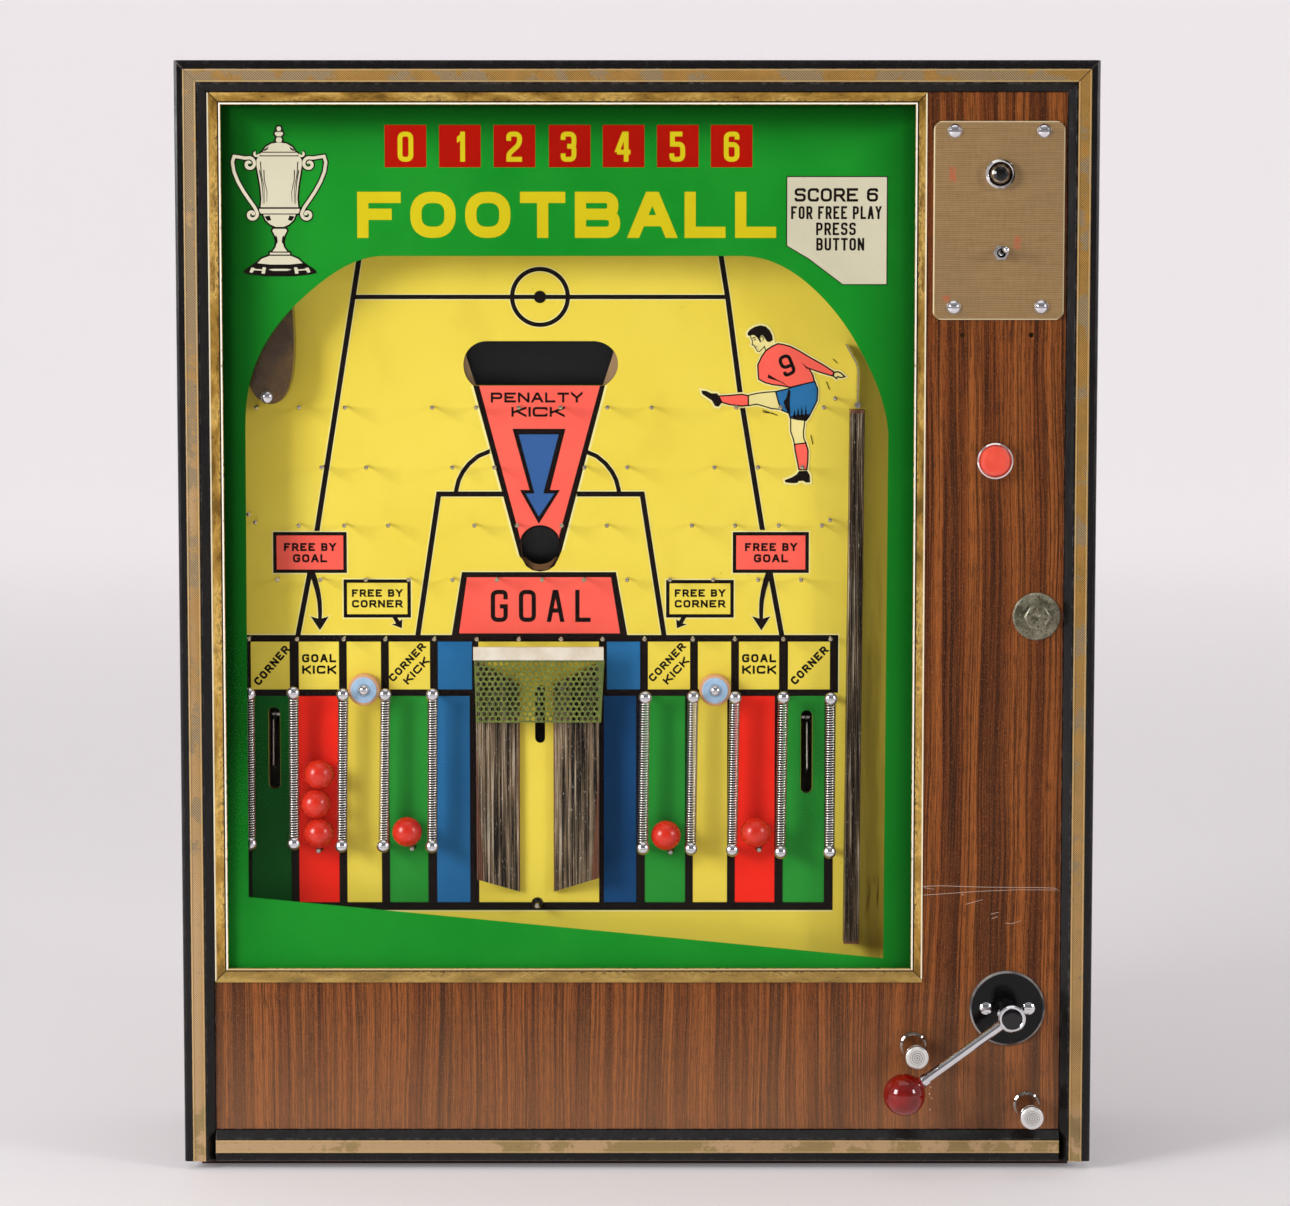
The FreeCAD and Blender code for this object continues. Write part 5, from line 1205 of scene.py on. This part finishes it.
fig_ink.stroke(head([(-0.03, 0.04), (0.03, 0.07), (0.08, 0.03), (0.07, -0.05), (0.01, -0.11)]), 0.5)
fig_ink.disc(*head([(-0.265, 0.05)])[0], 0.42)
# Folds in the shirt and shorts, and the small marks of movement round the figure.
fig_ink.fill([(97.1, 589.7), (100.8, 587.3), (104.5, 585.2), (107.8, 583.7), (112.6, 580.3), (105.8, 584.0),
              (100.8, 585.6), (96.6, 586.9)])
fig_ink.fill([(121.5, 598.5), (125.5, 595.2), (127.5, 594.0), (125.6, 593.6)])
fig_ink.fill([(112.0, 578.7), (113.6, 577.0), (113.0, 569.3), (113.6, 559.5), (111.8, 561.2), (110.0, 564.4),
              (108.3, 569.3), (110.3, 571.8)])
for k, (x, z) in enumerate(((116.5, 563.5), (119.2, 565.6), (122.0, 567.0), (125.0, 567.6))):
    fig_ink.fill([(x, z), (x + 1.5 - 0.2 * k, 557.0), (x - 1.2, 556.8)])
fig_ink.fill([(113.3, 558.6), (118.5, 559.4), (127.6, 560.2), (125.2, 555.5), (118.5, 556.2)])
for line in ([(145.0, 601.0), (148.2, 597.8)], [(140.1, 584.2), (142.4, 578.2)], [(128.7, 544.6), (130.2, 537.7)],
             [(93.0, 562.9), (104.1, 559.2)], [(93.0, 561.7), (100.9, 560.7)]):
    fig_ink.stroke(line, 0.6)
letters(fig_ink, "9", 110.9, 596.4, 16.0, 9.8, 2.5, turn=22)

for sheet in (halo, black, under, coral, red, green, outer_green, blue, right_blue, arrow_blue, yellow, top_black,
              words, fig_halo, fig_skin, fig_red, fig_blue, fig_ink):
    sheet.done()

# ---------------------------------------------------------------- artwork on the glass mask
Y_MASK = MASK_Y - LAYER
Y_MASK_2 = MASK_Y - 2 * LAYER
Y_MASK_3 = MASK_Y - 3 * LAYER
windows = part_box("score_windows")
title = Sheet("title_and_scores", TITLE_YELLOW, Y_MASK)
HALF_WINDOW = 15.2
FIRST, LAST = windows[0][0] / MM + HALF_WINDOW, windows[1][0] / MM - HALF_WINDOW
for k in range(7):
    letters(title, str(k), FIRST + (LAST - FIRST) * k / 6, 756.9, 21.8, {1: 7.6, 4: 12.2}.get(k, 11.4), 3.5,
            radius=3.2)
letters(title, "FOOTBALL", -51.5, 707.4, 33.6, 306.0, 8.2, gap=0.85, radius=11.0)
title.done()

card = Sheet("card_ground", CREAM, Y_MASK)
card_line = Sheet("card_print", INK, Y_MASK_2)
CARD = [(109.2, 735.2), (182.6, 735.2), (182.6, 656.6), (150.2, 656.6), (125.2, 675.4), (109.2, 684.8)]
card.fill(CARD)
card_line.stroke(CARD, 0.7, closed=True)
letters(card_line, "SCORE 6", 145.4, 721.9, 9.8, 61.0, 1.9, gap=0.7)
letters(card_line, "FOR FREE PLAY", 145.4, 709.0, 9.4, 66.0, 1.6, gap=0.8)
letters(card_line, "PRESS", 145.2, 697.2, 9.2, 29.0, 1.6, gap=0.8)
letters(card_line, "BUTTON", 148.4, 686.0, 9.2, 35.0, 1.6, gap=0.8)
card.done()
card_line.done()

# ---------------------------------------------------------------- a plain two-handled cup with a lid, on the mask
CUP_X, CUP_TOP = -261.2, 776.3
CUP_LINE = 1.5
cup_black = Sheet("cup_ground", INK, Y_MASK)
cup_cream = Sheet("cup_fill", CREAM, Y_MASK_2)
cup_lines = Sheet("cup_lines", INK, Y_MASK_3)


def cup(points, side=1):
    """Points in mm out from the cup's middle line and down from its top."""
    return [(CUP_X + side * a, CUP_TOP - b) for a, b in points]


def spiral(x, down, r0, r1, a0, a1, n=26):
    out = []
    for k in range(n + 1):
        r, a = r0 + (r1 - r0) * k / n, math.radians(a0 + (a1 - a0) * k / n)
        out.append((x + r * math.cos(a), down - r * math.sin(a)))
    return out


def both_sides(half):
    return cup(half) + cup(half, -1)[::-1]


CUP_PARTS = [
    [(0.97, 4.85), (1.7, 6.31), (0.97, 8.01)], [(2.43, 8.73), (3.15, 10.19), (1.46, 11.89)],
    [(1.46, 12.62), (2.43, 14.56), (1.46, 16.25)],
    [(1.46, 16.5), (5.58, 17.22), (9.7, 19.65), (11.89, 23.05)], [(13.1, 23.77), (14.07, 24.99), (13.1, 25.72)],
    [(15.04, 26.44), (16.5, 29.11), (16.5, 32.99), (15.28, 40.03), (13.83, 48.52), (13.1, 57.01), (13.71, 63.32)],
    [(14.8, 64.53), (14.56, 66.47), (13.59, 67.93)], [(11.89, 68.66), (10.19, 72.78), (6.79, 75.93), (2.91, 77.63)],
    [(4.61, 79.09), (5.34, 80.54), (3.64, 83.7), (2.43, 87.94), (2.91, 92.19), (5.34, 95.58)],
    [(7.28, 96.43), (7.28, 97.77)],
    [(7.76, 98.74), (13.34, 100.92), (16.5, 104.08), (7.28, 105.05)],
]
CUP_BASE = [(8.49, 98.5), (15.53, 101.65), (21.83, 106.26), (26.2, 109.17), (27.17, 111.11), (21.83, 112.57),
            (9.7, 113.78)]
cup_black.fill(both_sides(CUP_BASE))
for half in CUP_PARTS:
    cup_black.fill(both_sides(half))
    cup_black.stroke(both_sides(half), CUP_LINE * 1.7, closed=True)
    cup_cream.fill(both_sides(half))
HANDLE = (spiral(21.83, 32.02, 0.85, 4.61, 500, 96)
          + [(24.99, 27.66), (29.11, 26.93), (32.75, 26.44), (34.09, 30.57), (32.99, 37.6), (30.08, 44.88),
             (25.96, 52.16), (21.83, 58.22), (18.2, 63.32), (16.25, 67.44)]
          + spiral(20.14, 68.66, 4.0, 0.97, 170, 560))
CURL = spiral(16.74, 24.26, 0.73, 2.43, 420, 190)
for side in (1, -1):
    cup_black.stroke(cup(HANDLE, side), 4.3)
    cup_cream.stroke(cup(HANDLE, side), 2.3)
    cup_black.stroke(cup(CURL, side), 3.4)
    cup_cream.stroke(cup(CURL, side), 1.6)
    cup_lines.stroke(cup([(31.78, 28.63), (32.02, 33.96), (30.08, 41.24), (26.93, 47.55)], side), 0.5)
    for line in ([(13.59, 30.33), (13.1, 38.82), (11.16, 48.52), (10.92, 60.65)],
                 [(11.16, 36.39), (10.92, 43.67), (8.98, 52.16), (9.22, 59.44)],
                 [(14.31, 36.39), (12.62, 46.09), (11.89, 54.59), (11.89, 61.26)]):
        cup_lines.stroke(cup(line, side), 0.75, taper=0.3)
    cup_lines.fill(cup([(7.52, 19.17), (10.67, 21.35), (11.4, 22.8), (8.49, 21.59)], side))
    cup_lines.fill(cup([(7.28, 69.38), (10.92, 70.11), (8.98, 73.27), (6.07, 72.78)], side))
    cup_lines.fill(cup([(1.94, 84.91), (3.4, 83.7), (2.67, 87.94), (2.91, 90.98), (1.46, 88.55)], side))
    cup_cream.fill(cup([(18.2, 107.71), (20.86, 107.23), (22.32, 110.63), (20.14, 111.11)], side))
    cup_cream.fill(cup([(10.19, 107.23), (12.62, 106.99), (13.59, 111.6), (11.16, 111.84)], side))
    cup_cream.fill(cup([(12.13, 108.68), (19.41, 108.2), (19.89, 109.17), (12.62, 109.66)], side))
cup_cream.fill(both_sides([(5.34, 108.2), (8.49, 108.68), (5.34, 109.66)]))
for sheet in (cup_black, cup_cream, cup_lines):
    sheet.done()

# ---------------------------------------------------------------- scratches on the laminate and the lever's end cap
PANEL_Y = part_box("panel_laminate")[0][1]
scratches = Sheet("panel_scratches", printed("raw_laminate", (206, 186, 172), speck=0.4), PANEL_Y - LAYER)
for line in ([(211.6, 212.2), (226.0, 212.6), (256.0, 211.6), (300.0, 211.2), (309.4, 210.8), (312.6, 208.8)],
             [(212.0, 205.6), (230.0, 206.8), (252.0, 208.4), (282.0, 209.6), (310.0, 209.4)],
             [(211.6, 212.2), (214.0, 210.8), (220.0, 210.0)], [(273.0, 184.6), (278.0, 184.2), (284.4, 186.4)],
             [(243.6, 198.8), (250.0, 200.6), (256.0, 202.2)], [(262.0, 191.4), (268.0, 192.8)],
             [(262.6, 188.0), (267.4, 189.4)]):
    scratches.stroke(line, 0.34, taper=0.2)
for x, z, r in ((219.4, 70.0, 0.9), (220.0, 67.4, 0.7), (218.2, 61.0, 0.5), (217.4, 56.0, 0.6), (219.0, 52.6, 0.5),
                (217.8, 44.0, 0.5), (241.0, 206.0, 0.5)):
    scratches.disc(x, z, r)
scratches.done()

bm = bmesh.new()
rings = []
for r, d in ((7.62, -34.9), (7.62, -35.5), (7.2, -35.9), (4.2, -36.15), (1.6, -36.2)):
    rings.append([bm.verts.new(at(LEVER_AT[0] + r * math.cos(t), d,
                                  LEVER_AT[1] + r * math.sin(t))) for t in turns(48)])
for a, b in zip(rings, rings[1:]):
    for k in range(48):
        bm.faces.new((a[k], a[(k + 1) % 48], b[(k + 1) % 48], b[k]))
bm.faces.new(rings[0][::-1])
bm.faces.new(rings[-1])
piece("lever_end_cap", finished(bm, "lever_end_cap", smooth=True),
      gloss_plastic("cap_black", (8, 7, 10), 0.06, (16, 12, 18)), "lever")

# ================================================================ camera, light, floor
scene = bpy.context.scene
scene.view_settings.view_transform = "Standard"
scene.view_settings.look = "None"

cam_data = bpy.data.cameras.new("camera")
cam = bpy.data.objects.new("camera", cam_data)
scene.collection.objects.link(cam)
scene.camera = cam
CAM_DISTANCE, CAM_X, CAM_Z = 3.0735, 0.0057, 0.7197
CAM_DOWN, CAM_LENS = 5.5, 117.4
cam_data.sensor_fit = "HORIZONTAL"
cam_data.sensor_width = 36.0
cam_data.lens = CAM_LENS
cam_data.clip_end = 50
cam.location = (CAM_X, FRONT_Y - CAM_DISTANCE, CAM_Z)
cam.rotation_euler = (math.radians(90 - CAM_DOWN), 0, 0)


def area(name, place, target, size, power):
    data = bpy.data.lights.new(name, "AREA")
    data.shape = "RECTANGLE"
    data.size, data.size_y = size
    data.energy = power
    lamp = bpy.data.objects.new(name, data)
    scene.collection.objects.link(lamp)
    lamp.location = place
    lamp.rotation_euler = (Vector(target) - Vector(place)).to_track_quat("-Z", "Y").to_euler()


area("key_left", (-2.45, -1.95, 1.36), (-0.05, -0.06, 0.45), (1.1, 1.3), 77)
area("fill_right", (2.55, -1.75, 1.30), (0.05, -0.06, 0.45), (0.55, 0.85), 24)
area("top", (0, -0.5, 3.2), (0, 0, 0.3), (2.6, 1.8), 12)

world = bpy.data.worlds.new("world")
scene.world = world
world.use_nodes = True
world.node_tree.nodes["Background"].inputs[0].default_value = (0.90, 0.88, 0.89, 1)
world.node_tree.nodes["Background"].inputs[1].default_value = 0.35

# A round sweep: a pale floor that curves up into a wall on every side, brighter behind the machine than in front.
bm = bmesh.new()
RADIUS, BEND, WALL = 8.0, 2.6, 6.0
profile = [(0.6, 0.0), (1.2, 0.0), (2.2, 0.0), (3.6, 0.0), (RADIUS - BEND, 0.0)]
profile += [(RADIUS - BEND + BEND * math.sin(a), BEND - BEND * math.cos(a))
            for a in (math.pi / 2 * k / 12 for k in range(1, 13))]
profile += [(RADIUS, WALL)]
centre = bm.verts.new((0, 0, 0))
hoops = [[bm.verts.new((r * math.cos(t), r * math.sin(t), z)) for t in turns(96)] for r, z in profile]
for k in range(96):
    bm.faces.new((centre, hoops[0][k], hoops[0][(k + 1) % 96]))
for a, b in zip(hoops, hoops[1:]):
    for k in range(96):
        bm.faces.new((a[k], b[k], b[(k + 1) % 96], a[(k + 1) % 96]))
sweep_mesh = bpy.data.meshes.new("sweep")
bm.to_mesh(sweep_mesh)
bm.free()
for poly in sweep_mesh.polygons:
    poly.use_smooth = True
sweep = bpy.data.objects.new("sweep", sweep_mesh)
scene.collection.objects.link(sweep)
paper = Nodes("backdrop_paper")
behind = paper.ramp(paper.times(paper.axis("Y"), 0.125),
                    [(0.0, 0.36), (0.12, 0.46), (0.4, 0.72), (0.72, 1.0)])
ahead = paper.fade(paper.times(paper.axis("Y"), -0.125), 0.45, 0.75)
height = paper.fade(paper.times(paper.axis("Z"), 0.5), 0.2, 0.6)
shade = paper.mix(paper.times(ahead, height), (232, 227, 228), (60, 60, 62))
# The paper glows: faintly at the front, most strongly behind the machine.
paper.set(Base_Color=paper.mix(paper.noise(2.0), shade, paper.mix(0.03, shade, (120, 120, 120))), Roughness=0.8,
          Emission_Color=(0.93, 0.905, 0.93), Emission_Strength=paper.times(behind, 0.42))
sweep_mesh.materials.append(paper.mat)
